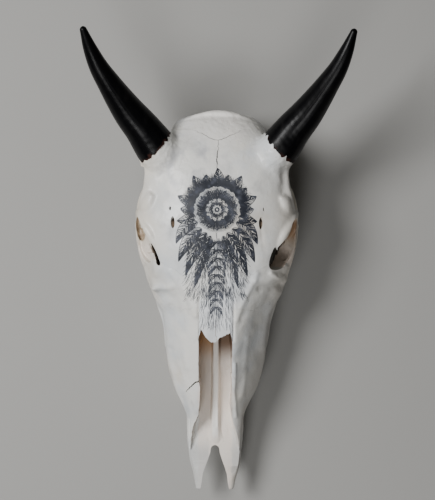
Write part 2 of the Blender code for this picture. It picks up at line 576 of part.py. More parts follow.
def add_aperture_cutters(collection):
    """Nasal cavity with its long opening, and the notch between the jaw tips."""
    rings = []
    for y, half, low, high, squeeze in CAVITY:
        bottom = half * squeeze
        ring = ((-bottom, low), (bottom, low), (half * 0.98, low + 0.004), (half, low + 0.010),
                (half, high), (-half, high), (-half, low + 0.010), (-half * 0.98, low + 0.004))
        rings.append([(x, y, z) for x, z in ring])
    loft("cavity", rings, collection)
    opening = list(APERTURE) + [(-x, y) for x, y in APERTURE_LEFT[::-1]]
    prism("aperture", ("plan", opening, (0.075, 0), 0.2), 0, 1, collection)
    notch = list(NOTCH) + [(-x, y) for x, y in NOTCH[-2::-1]]
    prism("notch", ("plan", notch, (-0.05, 0), 0.2), 0, 1, collection)


def scoop(name, rim, depth, side, collection, count=40):
    """Bowl with a crisp outline in plan, open above."""
    around = smooth_loop([on_side(p, side) for p in rim], count)
    middle = around.mean(axis=0)
    rings = []
    for share in (0.2, 0.75, 1.0):
        ring = middle + (around - middle) * share
        ring[:, 2] -= depth * (1 - share ** 2)
        rings.append(ring)
    rings.append(np.column_stack([around[:, :2], np.full(count, 0.2)]))
    return loft(name, rings, collection)


def add_socket_cutters(collection):
    """What opens the sockets to the front: a recess and a slit on the right, a crescent on the left."""
    swept("left_slit", LEFT_SLIT, LEFT_SLIT_HALF_WIDTHS, 0.024, collection, sides=8, rings=8)
    swept("right_slit", [on_side(p, -1) for p in RIGHT_SLIT], RIGHT_SLIT_HALF_WIDTHS, 0.032, collection,
          sides=8, rings=8)
    scoop("left_crescent", LEFT_CRESCENT, 0.005, 1, collection)
    scoop("right_recess", RIGHT_RECESS, 0.001, -1, collection)


def add_foramina(collection):
    for side, label in ((1, "left"), (-1, "right")):
        pit = (0.0435, 0.027, 0.1275)
        turn = facing(on_side((0.35, 0.25, 1), side), (0, 1, 0))
        ellipsoid(f"brow_pit_{label}", on_side(pit, side), (0.009, 0.0022, 0.0058), collection, turn, 16)
        canal = (0.0475, -0.118, 0.053)
        ellipsoid(f"cheek_pit_{label}", on_side(canal, side), (0.009, 0.0032, 0.0042), collection,
                  facing(on_side((0.8, -0.6, 0.1), side)), 16)


def tooth(name, centre, size, turn, side, collection):
    """Worn two-lobed cheek tooth, crown down, its root running up into the jaw."""
    length, width = size
    steps = np.linspace(-1, 1, len(TOOTH_RIBS))
    half = [(rib, y) for rib, y in zip(TOOTH_RIBS, steps)]
    half += [(-lobe, y) for lobe, y in zip(TOOTH_LOBES[::-1], steps[::-1])]
    rings = []
    for z, share in TOOTH_LEVELS:
        ring = []
        for across, along in half:
            x = across * side * share * width / 2
            y = along * share * length / 2
            ring.append((centre[0] + x * math.cos(turn) - y * math.sin(turn),
                         centre[1] + x * math.sin(turn) + y * math.cos(turn), z))
        rings.append(ring)
    return loft(name, rings, collection)


def add_teeth(side, collection):
    y = TOOTH_ROW_FRONT
    for i, (length, width) in enumerate(TOOTH_SIZES):
        middle = y + length / 2
        x = float(smooth_line(TOOTH_ROW_Y, TOOTH_ROW_X, [middle])[0])
        ahead = float(smooth_line(TOOTH_ROW_Y, TOOTH_ROW_X, [middle + 0.002])[0])
        turn = math.atan2(x - ahead, 0.002) * side
        tooth(f"tooth_{i}", (x * side, middle), (length - TOOTH_GAP, width), turn, side, collection)
        y += length


def plane_trimmed(obj, point, normal):
    """Cut away what lies in front of a plane and cap the cut."""
    shape = bmesh.new()
    shape.from_mesh(obj.data)
    geometry = shape.verts[:] + shape.edges[:] + shape.faces[:]
    cut_geometry = bmesh.ops.bisect_plane(shape, geom=geometry, plane_co=point, plane_no=normal,
                                          clear_outer=True)["geom_cut"]
    rim = [e for e in cut_geometry if isinstance(e, bmesh.types.BMEdge)]
    bmesh.ops.contextual_create(shape, geom=rim)
    bmesh.ops.recalc_face_normals(shape, faces=shape.faces)
    shape.to_mesh(obj.data)
    shape.free()


def horn(name, side, swell, collection, sides=HORN_SIDES, rings=HORN_RINGS):
    """Horn sheath from its tilted base plane to its blunt tip; swell makes it larger all round."""
    path = [on_side(p, side) for p in HORN_PATH]
    radii = [r + swell for r in HORN_RADII]
    body = swept(name, path, radii, radii, collection, sides, rings, rounded=True)
    base = Vector(on_side(HORN_BASE, side))
    normal = Vector(on_side(HORN_BASE_NORMAL, side)).normalized()
    plane_trimmed(body, base - normal * min(swell, SUTURE_GAP), -normal)
    return body


def vomer(name, swell, collection):
    rings = []
    for y, half, low, high in VOMER:
        half, low, high = half + swell, low - swell, high + swell
        ring = ((-half * 1.15, low), (half * 1.15, low), (half, low + 0.004), (half * 0.8, high - 0.0006),
                (0, high), (-half * 0.8, high - 0.0006), (-half, low + 0.004))
        rings.append([(x, y, z) for x, z in ring])
    return loft(name, rings, collection)


def tidy_mesh(obj):
    """Move the mesh to its place as triangles, with slivers dissolved as far as it stays closed."""
    for sliver in (0.00002, 0.000005, 0):
        shape = bmesh.new()
        shape.from_mesh(obj.data)
        bmesh.ops.translate(shape, vec=(0, FORE_AFT_SHIFT, 0), verts=shape.verts)
        bmesh.ops.triangulate(shape, faces=shape.faces)
        if sliver:
            bmesh.ops.dissolve_degenerate(shape, edges=shape.edges, dist=sliver)
            bmesh.ops.triangulate(shape, faces=shape.faces)
        if all(edge.is_manifold for edge in shape.edges):
            break
        shape.free()
    shape.to_mesh(obj.data)
    shape.free()


def dress(obj, colour, roughness):
    material = bpy.data.materials.new(obj.name)
    material.use_nodes = True
    shader = material.node_tree.nodes["Principled BSDF"]
    shader.inputs["Base Color"].default_value = (*colour, 1)
    shader.inputs["Roughness"].default_value = roughness
    obj.data.materials.clear()
    obj.data.materials.append(material)


def whole_bone(work, cutters):
    skull_body(work)
    for side in (1, -1):
        add_side_masses(side, work)
    add_midline_masses(work)
    bone = fused("cranium", work, FUSE_VOXEL, FUSE_SMOOTHING)
    soften_horn_bases(bone)
    # The exact solver takes minutes on this fine mesh.
    add_soft_cutters(cutters)
    cut_with_all(bone, cutters, solver="MANIFOLD")
    swept("cheek_face", [on_side(p, -1) for p in CHEEK_FACE], CHEEK_FACE_HALF_WIDTHS,
          CHEEK_FACE_HALF_THICKNESSES, cutters, up=on_side(CHEEK_FACE_OUTWARD, -1))
    cut_with_all(bone, cutters, "UNION", "MANIFOLD")
    remesh(bone, CARVED_VOXEL, CARVED_SMOOTHING)
    keep_largest(bone)
    return simplified(bone, BONE_TRIANGLES)


def main():
    clear_scene()
    pieces = new_collection("wildebeest_skull")
    cutters = new_collection("cutters")
    cutters.hide_render = True
    work = new_collection("work")
    bone = whole_bone(work, cutters)
    add_aperture_cutters(cutters)
    add_foramina(cutters)
    for side in (1, -1):
        horn("horn_space", side, 0.003, cutters)
    vomer("vomer_space", SUTURE_GAP, cutters)
    cut_with_all(bone, cutters)
    # The exact solver loses the body at these cuts and at the sutures that cross them.
    add_socket_cutters(cutters)
    cut_with_all(bone, cutters, solver="MANIFOLD")
    plane_trimmed(bone, (0, 0, 0), (0, 0, -1))
    keep_largest(bone)
    for parts in (
        {"frontal_left": (FRONTAL, 1), "frontal_right": (FRONTAL, -1)},
        {"nasal_left": (NASAL, 1), "nasal_right": (NASAL, -1)},
        {"zygomatic_left": (ZYGOMATIC, 1), "zygomatic_right": (ZYGOMATIC, -1)},
        {"lacrimal_left": (LACRIMAL, 1), "lacrimal_right": (LACRIMAL, -1)},
        {"maxilla_left": (MAXILLA, 1), "maxilla_right": (MAXILLA, -1)},
        {"occiput": (OCCIPUT, 1)},
    ):
        part_off(bone, parts, cutters, pieces)
    keep_largest(bone)
    work.objects.unlink(bone)
    pieces.objects.link(bone)
    for side, label in ((1, "left"), (-1, "right")):
        add_teeth(side, cutters)
        cut_with_all(pieces.objects[f"maxilla_{label}"], cutters, "UNION")
        horn(f"horn_{label}", side, 0, pieces)
    vomer("vomer", 0, pieces)
    for obj in pieces.objects:
        tidy_mesh(obj)
        if obj.name.startswith("horn"):
            dress(obj, HORN_BLACK, 0.3)
        else:
            dress(obj, BONE_WHITE, 0.55)
    bpy.data.collections.remove(work)


if __name__ == "__main__":
    main()
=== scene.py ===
"""Engraved skull of a young wildebeest, lying forehead up on a pale studio floor.

The bone is modelled whole out of named masses and hollows, given fine relief and parted along
its sutures into the bones that replace the frame's nodes. The horn sheaths, cheek teeth, vomer
and inked ornament are modelled on their own. Metres, +Z up, with the nose towards -Y.
"""

import itertools
import logging
import math
from abc import ABC, abstractmethod
from dataclasses import dataclass, field
from enum import Enum
from functools import cached_property
from typing import Iterable, Optional, Sequence, Union

import bmesh
import bpy
import numpy as np
from mathutils import Matrix, Vector
from mathutils.bvhtree import BVHTree


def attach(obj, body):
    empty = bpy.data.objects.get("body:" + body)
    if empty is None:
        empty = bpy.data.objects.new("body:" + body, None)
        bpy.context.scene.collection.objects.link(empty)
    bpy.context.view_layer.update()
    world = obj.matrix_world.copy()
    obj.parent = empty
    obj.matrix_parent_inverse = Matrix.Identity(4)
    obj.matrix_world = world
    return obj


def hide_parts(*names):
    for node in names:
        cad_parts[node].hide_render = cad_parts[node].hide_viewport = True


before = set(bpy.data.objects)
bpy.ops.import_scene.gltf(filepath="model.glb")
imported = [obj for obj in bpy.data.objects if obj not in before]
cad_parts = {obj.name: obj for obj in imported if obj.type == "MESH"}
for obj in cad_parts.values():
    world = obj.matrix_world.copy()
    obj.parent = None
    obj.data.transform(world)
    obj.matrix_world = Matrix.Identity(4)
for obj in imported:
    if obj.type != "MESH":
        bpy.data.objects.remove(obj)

LOG = logging.getLogger("skull")
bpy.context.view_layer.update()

Point = Sequence[float]
Plan = Sequence[tuple[float, float]]
Number = Union[float, "Signal"]

# The skull is modelled with y = 0 at the middle of the forehead and moved here at the end.
FORE_AFT_SHIFT = 0.0183
HAIRLINE = 0.00012
# Heights that clear the whole skull, for the ends of upright cuts.
OVERHEAD = 0.2
UNDERFOOT = -0.05
# Share of the way to its neighbours' middle that one pass of softening moves a vertex.
SMOOTHING = 0.5

# Half-sections of the skull from the jaw tips to the back of the head. After y come x and z of
# the crown line, crown slope, shoulder, brow or side edge, flank, cheek, gum, palate edge, base line.
SECTIONS = (
    (-0.252, ((0, 0.0385), (0.006, 0.0385), (0.012, 0.0385), (0.017, 0.038), (0.0198, 0.0365),
        (0.0202, 0.035), (0.0192, 0.0332), (0.012, 0.0325), (0, 0.0325))),
    (-0.24, ((0, 0.041), (0.008, 0.041), (0.015, 0.041), (0.0195, 0.04), (0.0215, 0.0375), (0.0217, 0.0355),
        (0.0205, 0.033), (0.012, 0.0315), (0, 0.0315))),
    (-0.228, ((0, 0.0435), (0.009, 0.0435), (0.018, 0.043), (0.0225, 0.0415), (0.0246, 0.0385),
        (0.0248, 0.036), (0.0235, 0.033), (0.013, 0.031), (0, 0.031))),
    (-0.208, ((0, 0.048), (0.01, 0.048), (0.02, 0.047), (0.025, 0.045), (0.0275, 0.0415), (0.0282, 0.038),
        (0.0265, 0.034), (0.014, 0.031), (0, 0.031))),
    (-0.188, ((0, 0.057), (0.011, 0.0565), (0.0205, 0.055), (0.026, 0.051), (0.029, 0.0455), (0.0298, 0.04),
        (0.028, 0.0345), (0.015, 0.0315), (0, 0.0315))),
    (-0.17, ((0, 0.0675), (0.011, 0.067), (0.02, 0.065), (0.026, 0.0595), (0.0295, 0.0515), (0.031, 0.043),
        (0.029, 0.033), (0.016, 0.0315), (0, 0.0315))),
    (-0.158, ((0, 0.0755), (0.011, 0.075), (0.02, 0.0725), (0.027, 0.0655), (0.0325, 0.055), (0.0365, 0.044),
        (0.034, 0.019), (0.021, 0.022), (0, 0.0315))),
    (-0.145, ((0, 0.083), (0.012, 0.0825), (0.0205, 0.08), (0.029, 0.0715), (0.037, 0.059), (0.0425, 0.046),
        (0.04, 0.0155), (0.025, 0.018), (0, 0.0315))),
    (-0.125, ((0, 0.093), (0.013, 0.0925), (0.021, 0.0895), (0.031, 0.079), (0.041, 0.0645), (0.049, 0.048),
        (0.0465, 0.014), (0.029, 0.017), (0, 0.031))),
    (-0.105, ((0, 0.1015), (0.014, 0.101), (0.022, 0.097), (0.033, 0.085), (0.044, 0.0685), (0.0515, 0.051),
        (0.0475, 0.014), (0.03, 0.017), (0, 0.031))),
    (-0.085, ((0, 0.109), (0.015, 0.1085), (0.023, 0.1045), (0.035, 0.092), (0.047, 0.074), (0.053, 0.055),
        (0.048, 0.014), (0.03, 0.017), (0, 0.031))),
    (-0.065, ((0, 0.115), (0.016, 0.1145), (0.026, 0.11), (0.04, 0.098), (0.0495, 0.08), (0.056, 0.061),
        (0.048, 0.015), (0.029, 0.018), (0, 0.032))),
    (-0.05, ((0, 0.119), (0.018, 0.1185), (0.031, 0.114), (0.046, 0.103), (0.057, 0.086), (0.0635, 0.067),
        (0.047, 0.019), (0.028, 0.021), (0, 0.033))),
    (-0.03, ((0, 0.1245), (0.022, 0.124), (0.04, 0.1195), (0.056, 0.108), (0.067, 0.091), (0.071, 0.073),
        (0.046, 0.044), (0.026, 0.029), (0, 0.036))),
    (-0.015, ((0, 0.128), (0.025, 0.1275), (0.046, 0.122), (0.061, 0.111), (0.071, 0.093), (0.0755, 0.076),
        (0.05, 0.054), (0.024, 0.035), (0, 0.04))),
    (0.0, ((0, 0.1305), (0.028, 0.13), (0.05, 0.124), (0.066, 0.112), (0.075, 0.093), (0.0795, 0.075),
        (0.052, 0.059), (0.022, 0.039), (0, 0.043))),
    (0.015, ((0, 0.132), (0.03, 0.131), (0.056, 0.1235), (0.073, 0.111), (0.078, 0.093), (0.08, 0.075),
        (0.053, 0.062), (0.022, 0.043), (0, 0.045))),
    (0.03, ((0, 0.133), (0.032, 0.132), (0.062, 0.122), (0.0785, 0.1085), (0.0795, 0.092), (0.08, 0.076),
        (0.054, 0.063), (0.022, 0.045), (0, 0.046))),
    (0.042, ((0, 0.133), (0.032, 0.132), (0.061, 0.121), (0.0765, 0.1075), (0.068, 0.096), (0.05, 0.08),
        (0.041, 0.06), (0.023, 0.045), (0, 0.046))),
    (0.06, ((0, 0.1325), (0.032, 0.1315), (0.058, 0.121), (0.0745, 0.107), (0.062, 0.098), (0.044, 0.082),
        (0.042, 0.06), (0.026, 0.043), (0, 0.044))),
    (0.075, ((0, 0.1305), (0.032, 0.13), (0.056, 0.1215), (0.0737, 0.11), (0.061, 0.098), (0.047, 0.082),
        (0.047, 0.06), (0.033, 0.04), (0, 0.04))),
    (0.088, ((0, 0.128), (0.03, 0.1275), (0.053, 0.1215), (0.0715, 0.111), (0.06, 0.098), (0.051, 0.082),
        (0.049, 0.058), (0.033, 0.037), (0, 0.036))),
    (0.1, ((0, 0.1245), (0.026, 0.124), (0.043, 0.121), (0.056, 0.113), (0.056, 0.096), (0.051, 0.08),
        (0.048, 0.057), (0.032, 0.035), (0, 0.033))),
    (0.112, ((0, 0.118), (0.022, 0.1175), (0.038, 0.114), (0.048, 0.107), (0.05, 0.092), (0.05, 0.078),
        (0.046, 0.055), (0.03, 0.035), (0, 0.032))),
    (0.124, ((0, 0.11), (0.018, 0.109), (0.032, 0.104), (0.042, 0.096), (0.047, 0.084), (0.047, 0.072),
        (0.042, 0.052), (0.026, 0.036), (0, 0.034))),
    (0.134, ((0, 0.1), (0.014, 0.099), (0.024, 0.095), (0.033, 0.088), (0.038, 0.079), (0.038, 0.068),
        (0.034, 0.052), (0.02, 0.04), (0, 0.038))),
    (0.1395, ((0, 0.092), (0.009, 0.0915), (0.016, 0.088), (0.022, 0.083), (0.026, 0.076), (0.026, 0.068),
        (0.022, 0.056), (0.014, 0.048), (0, 0.046))),
)

# Middle of the horn's lower edge and the way that edge faces, on the left side.
HORN_BASE = (0.061, 0.1035, 0.115)
HORN_BASE_NORMAL = (0.7, 0.66, 0.25)
BROW_PIT = (0.0435, 0.027, 0.1275)
GUM_HEIGHT = 0.0135


class Side(Enum):
    """Which side of the skull a piece lies on, as the sign of its x."""

    LEFT = 1
    RIGHT = -1

    @property
    def label(self) -> str:
        """Lower-case name used in piece names."""
        return self.name.lower()

    def place(self, point: Point) -> tuple[float, float, float]:
        """Put a point that was given for the left side on this side.

        Args:
            point: Position on the skull's left side.

        Returns:
            The position on this side.
        """
        return (point[0] * self.value, point[1], point[2])


class Operation(Enum):
    """What a Boolean keeps."""

    UNION = "UNION"
    DIFFERENCE = "DIFFERENCE"
    INTERSECT = "INTERSECT"


def smooth_line(knots: Sequence[float], values: np.ndarray, at: np.ndarray) -> np.ndarray:
    """Read a smooth cubic through values at given places.

    Args:
        knots: Increasing places of the values.
        values: One value or row of values per knot.
        at: Places to read.

    Returns:
        The values read, one row per place.
    """
    knots, values, at = (np.asarray(a, float) for a in (knots, values, at))
    steps = np.diff(knots)
    shape = (-1,) + (1,) * (values.ndim - 1)
    slopes = np.diff(values, axis=0) / steps.reshape(shape)
    before, after = steps[:-1].reshape(shape), steps[1:].reshape(shape)
    inner = (slopes[:-1] * after + slopes[1:] * before) / (before + after)
    tangents = np.concatenate([slopes[:1], inner, slopes[-1:]])
    i = np.clip(np.searchsorted(knots, at, side="right") - 1, 0, len(steps) - 1)
    h = steps[i].reshape(shape)
    t = ((at - knots[i]) / steps[i]).reshape(shape)
    return (
        values[i] * (1 + 2 * t) * (1 - t) ** 2
        + tangents[i] * h * t * (1 - t) ** 2
        + values[i + 1] * t * t * (3 - 2 * t)
        + tangents[i + 1] * h * t * t * (t - 1)
    )


def smooth_loop(points: Sequence[Point], count: int) -> np.ndarray:
    """Spread points along a smooth closed line through the given ones.

    Args:
        points: Corners of the loop, in order.
        count: How many points to return.

    Returns:
        The points, one row each.
    """
    n = len(points)
    wrapped = np.array([points[i % n] for i in range(-2, n + 3)], float)
    return smooth_line(np.arange(-2, n + 3), wrapped, np.arange(count) * n / count)


def smooth_step(low: float, high: float, value: np.ndarray) -> np.ndarray:
    """Ease from 0 to 1 as a value passes from low to high."""
    t = np.clip((value - low) / (high - low), 0, 1)
    return t * t * (3 - 2 * t)


def fall_off(distance: np.ndarray, width: float) -> np.ndarray:
    """Soft bell that is 1 at no distance and dies away beyond a width."""
    return np.exp(-((distance / width) ** 2))


def unit(rows: np.ndarray) -> np.ndarray:
    """Scale a vector, or each row of vectors, to length 1."""
    return rows / (np.linalg.norm(rows, axis=1)[:, None] if rows.ndim > 1 else np.linalg.norm(rows))


def full_turn(count: int) -> np.ndarray:
    """Evenly spaced angles of a full turn."""
    return np.arange(count) * 2 * math.pi / count


def path_lengths(path: np.ndarray) -> np.ndarray:
    """How far along a chain of points each of them lies."""
    return np.concatenate([[0], np.cumsum(np.linalg.norm(np.diff(path, axis=0), axis=1))])


def facing(axis: Point, up: Point) -> Matrix:
    """Turn that lays a form's first axis along a given way.

    Args:
        axis: Way of the turn's first column.
        up: Way that its third column is as near to as can be.

    Returns:
        The turn.
    """
    first = Vector(axis).normalized()
    second = Vector(up).cross(first).normalized()
    return Matrix((first, second, first.cross(second))).transposed()


class Solid:
    """A closed mesh being shaped, with the tools that shape it."""

    def __init__(self, name: str, shape: bmesh.types.BMesh) -> None:
        """Turn a shape into a mesh object.

        Args:
            name: Name of the solid.
            shape: The shape, which is used up.
        """
        bmesh.ops.recalc_face_normals(shape, faces=shape.faces)
        mesh = bpy.data.meshes.new(name)
        shape.to_mesh(mesh)
        shape.free()
        self.thing = bpy.data.objects.new(name, mesh)
        bpy.context.scene.collection.objects.link(self.thing)

    @classmethod
    def loft(cls, name: str, rings: Sequence[np.ndarray], closed: bool = False) -> "Solid":
        """Skin equal rings of points into a solid.

        Args:
            name: Name of the solid.
            rings: Rings of equally many points.
            closed: Join the last ring to the first in place of capping both ends.

        Returns:
            The solid.
        """
        shape = bmesh.new()
        levels = [[shape.verts.new(point) for point in ring] for ring in rings]
        pairs = list(zip(levels, levels[1:] + levels[:1]))
        for low, high in pairs if closed else pairs[:-1]:
            for i in range(len(low)):
                j = (i + 1) % len(low)
                shape.faces.new((low[i], low[j], high[j], high[i]))
        if not closed:
            shape.faces.new(levels[0])
            shape.faces.new(levels[-1])
        return cls(name, shape)

    @classmethod
    def joined(cls, name: str, solids: Iterable["Solid"]) -> "Solid":
        """Gather solids into one mesh, and discard them.

        Args:
            name: Name of the new solid.
            solids: The solids to gather.

        Returns:
            The new solid, whose parts may overlap.
        """
        shape = bmesh.new()
        for solid in solids:
            shape.from_mesh(solid.thing.data)
            solid.discard()
        return cls(name, shape)

    def copy(self, name: str) -> "Solid":
        """Make a separate copy.

        Args:
            name: Name of the copy.

        Returns:
            The copy.
        """
        shape = bmesh.new()
        shape.from_mesh(self.thing.data)
        return Solid(name, shape)

    def discard(self) -> None:
        """Remove the solid and its mesh."""
        mesh = self.thing.data
        bpy.data.objects.remove(self.thing, do_unlink=True)
        bpy.data.meshes.remove(mesh)

    def _apply(self) -> None:
        """Make the result of the modifiers the solid's mesh."""
        graph = bpy.context.evaluated_depsgraph_get()
        mesh = bpy.data.meshes.new_from_object(self.thing.evaluated_get(graph))
        self.thing.modifiers.clear()
        old = self.thing.data
        self.thing.data = mesh
        bpy.data.meshes.remove(old)

    def combine(self, tool: "Solid", operation: Operation = Operation.DIFFERENCE) -> None:
        """Cut with, keep within or add another solid, and discard that one.

        Args:
            tool: The other solid.
            operation: What to keep.
        """
        boolean = self.thing.modifiers.new("Combine", "BOOLEAN")
        boolean.operation = operation.value
        boolean.solver = "MANIFOLD"
        boolean.object = tool.thing
        self._apply()
        tool.discard()

    def even_out(self, voxel: float, reach: float) -> None:
        """Fuse overlapping parts into one even skin and soften its edges.

        Args:
            voxel: Mesh spacing.
            reach: How far the softening spreads, whatever the spacing.
        """
        even = self.thing.modifiers.new("Remesh", "REMESH")
        even.mode = "VOXEL"
        even.voxel_size = voxel
        soft = self.thing.modifiers.new("Smooth", "SMOOTH")
        soft.factor = SMOOTHING
        soft.iterations = max(1, round((reach / voxel) ** 2))
        self._apply()

    def soften(self, weights: np.ndarray, reach: float, voxel: float) -> None:
        """Soften some places more.

        Args:
            weights: Share of the softening per vertex.
            reach: How far the softening spreads.
            voxel: Mesh spacing.
        """
        group = self.thing.vertex_groups.new(name="soften")
        for i in np.flatnonzero(weights > 0.01):
            group.add([int(i)], float(weights[i]), "REPLACE")
        soft = self.thing.modifiers.new("Smooth", "SMOOTH")
        soft.factor = SMOOTHING
        soft.iterations = round((reach / voxel) ** 2)
        soft.vertex_group = group.name
        self._apply()
        self.thing.vertex_groups.clear()

    def points(self) -> np.ndarray:
        """Vertex positions, one row each."""
        return self._rows(self.thing.data.vertices, "co")

    def normals(self) -> np.ndarray:
        """Vertex normals, one row each."""
        return self._rows(self.thing.data.vertex_normals, "vector")

    @staticmethod
    def _rows(items: bpy.types.bpy_prop_collection, attribute: str) -> np.ndarray:
        """Read a vector attribute of many items.

        Args:
            items: The mesh's items.
            attribute: Name of the attribute.

        Returns:
            Its values, one row per item.
        """
        flat = np.empty(len(items) * 3, np.float32)
        items.foreach_get(attribute, flat)
        return flat.reshape(-1, 3).astype(float)

    def move_points(self, points: np.ndarray) -> None:
        """Put the vertices at new positions."""
        self.thing.data.vertices.foreach_set("co", points.astype(np.float32).ravel())
        self.thing.data.update()

    def keep_largest(self) -> None:
        """Drop all but the biggest closed surface."""
        shape = bmesh.new()
        shape.from_mesh(self.thing.data)
        shape.verts.ensure_lookup_table()
        seen = np.zeros(len(shape.verts), bool)
        islands = []
        for start in shape.verts:
            if seen[start.index]:
                continue
            seen[start.index] = True
            island = [start]
            for vert in island:
                for edge in vert.link_edges:
                    other = edge.other_vert(vert)
                    if not seen[other.index]:
                        seen[other.index] = True
                        island.append(other)
            islands.append(island)
        if len(islands) > 1:
            islands.sort(key=len)
            strays = [vert for island in islands[:-1] for vert in island]
            bmesh.ops.delete(shape, geom=strays, context="VERTS")
            shape.to_mesh(self.thing.data)
        shape.free()

    def trim(self, point: Point, normal: Point) -> None:
        """Cut away what lies in front of a plane and cap the cut.

        Args:
            point: A point of the plane.
            normal: Way that the plane faces.
        """
        shape = bmesh.new()
        shape.from_mesh(self.thing.data)
        whole = shape.verts[:] + shape.edges[:] + shape.faces[:]
        cut = bmesh.ops.bisect_plane(shape, geom=whole, plane_co=point, plane_no=normal, clear_outer=True)
        rim = [e for e in cut["geom_cut"] if isinstance(e, bmesh.types.BMEdge)]
        bmesh.ops.contextual_create(shape, geom=rim)
        bmesh.ops.recalc_face_normals(shape, faces=shape.faces)
        shape.to_mesh(self.thing.data)
        shape.free()


class Form(ABC):
    """Something that can be built as a solid on either side of the skull."""

    @abstractmethod
    def build(self, name: str, side: Side) -> Solid:
        """Build the form on one side.

        Args:
            name: Name of the solid.
            side: Side of the skull.

        Returns:
            The solid.
        """

    def both(self, name: str) -> list[Solid]:
        """Build the form on both sides."""
        return [self.build(f"{name}_{side.label}", side) for side in Side]


@dataclass(frozen=True)
class Bar(Form):
    """Tapering bar along a smooth path, with oval sections."""

    path: Sequence[Point]
    widths: Union[float, Sequence[float]]
    heights: Union[float, Sequence[float]]
    up: Point = (0, 0, 1)
    sides: int = 28
    rings: int = 48

    def build(self, name: str, side: Side) -> Solid:
        """Build the bar on one side.

        Args:
            name: Name of the solid.
            side: Side of the skull.

        Returns:
            The solid.
        """
        path = np.array([side.place(point) for point in self.path], float)
        knots = path_lengths(path)
        at = np.linspace(0, knots[-1], self.rings)
        centres = smooth_line(knots, path, at)
        half_w = smooth_line(knots, np.broadcast_to(self.widths, len(path)), at)
        half_h = smooth_line(knots, np.broadcast_to(self.heights, len(path)), at)
        turn = full_turn(self.sides)
        rings = []
        for centre, ahead, w, h in zip(centres, np.gradient(centres, axis=0), half_w, half_h):
            ahead = unit(ahead)
            across = unit(np.cross(ahead, side.place(self.up)))
            rise = np.cross(across, ahead)
            rings.append(centre + np.outer(np.cos(turn) * w, across) + np.outer(np.sin(turn) * h, rise))
        return Solid.loft(name, rings)


@dataclass(frozen=True)
class Ball(Form):
    """Sphere stretched to three radii, its first along the axis."""

    centre: Point
    radii: Point
    axis: Point = (1, 0, 0)
    up: Point = (0, 0, 1)
    columns: int = 40
    rows: int = 24

    def build(self, name: str, side: Side) -> Solid:
        """Build the ball on one side.

        Args:
            name: Name of the solid.
            side: Side of the skull.

        Returns:
            The solid.
        """
        shape = bmesh.new()
        bmesh.ops.create_uvsphere(shape, u_segments=self.columns, v_segments=self.rows, radius=1)
        turn = facing(side.place(self.axis), self.up).to_4x4()
        place = Matrix.Translation(side.place(self.centre)) @ turn @ Matrix.Diagonal((*self.radii, 1))
        bmesh.ops.transform(shape, matrix=place, verts=shape.verts)
        return Solid(name, shape)


@dataclass(frozen=True)
class Loop(Form):
    """Closed round bar through landmarks."""

    landmarks: Sequence[Point]
    radius: float
    count: int = 96
    sides: int = 20

    def build(self, name: str, side: Side) -> Solid:
        """Build the loop on one side.

        Args:
            name: Name of the solid.
            side: Side of the skull.

        Returns:
            The solid.
        """
        line = smooth_loop([side.place(point) for point in self.landmarks], self.count)
        turn = full_turn(self.sides)
        rings = []
        for i, point in enumerate(line):
            ahead = unit(line[(i + 1) % self.count] - line[i - 1])
            outward = point - line.mean(axis=0)
            outward = unit(outward - ahead * outward.dot(ahead))
            beside = np.cross(ahead, outward)
            section = np.outer(np.cos(turn), outward) + np.outer(np.sin(turn), beside)
            rings.append(point + self.radius * section)
        return Solid.loft(name, rings, closed=True)


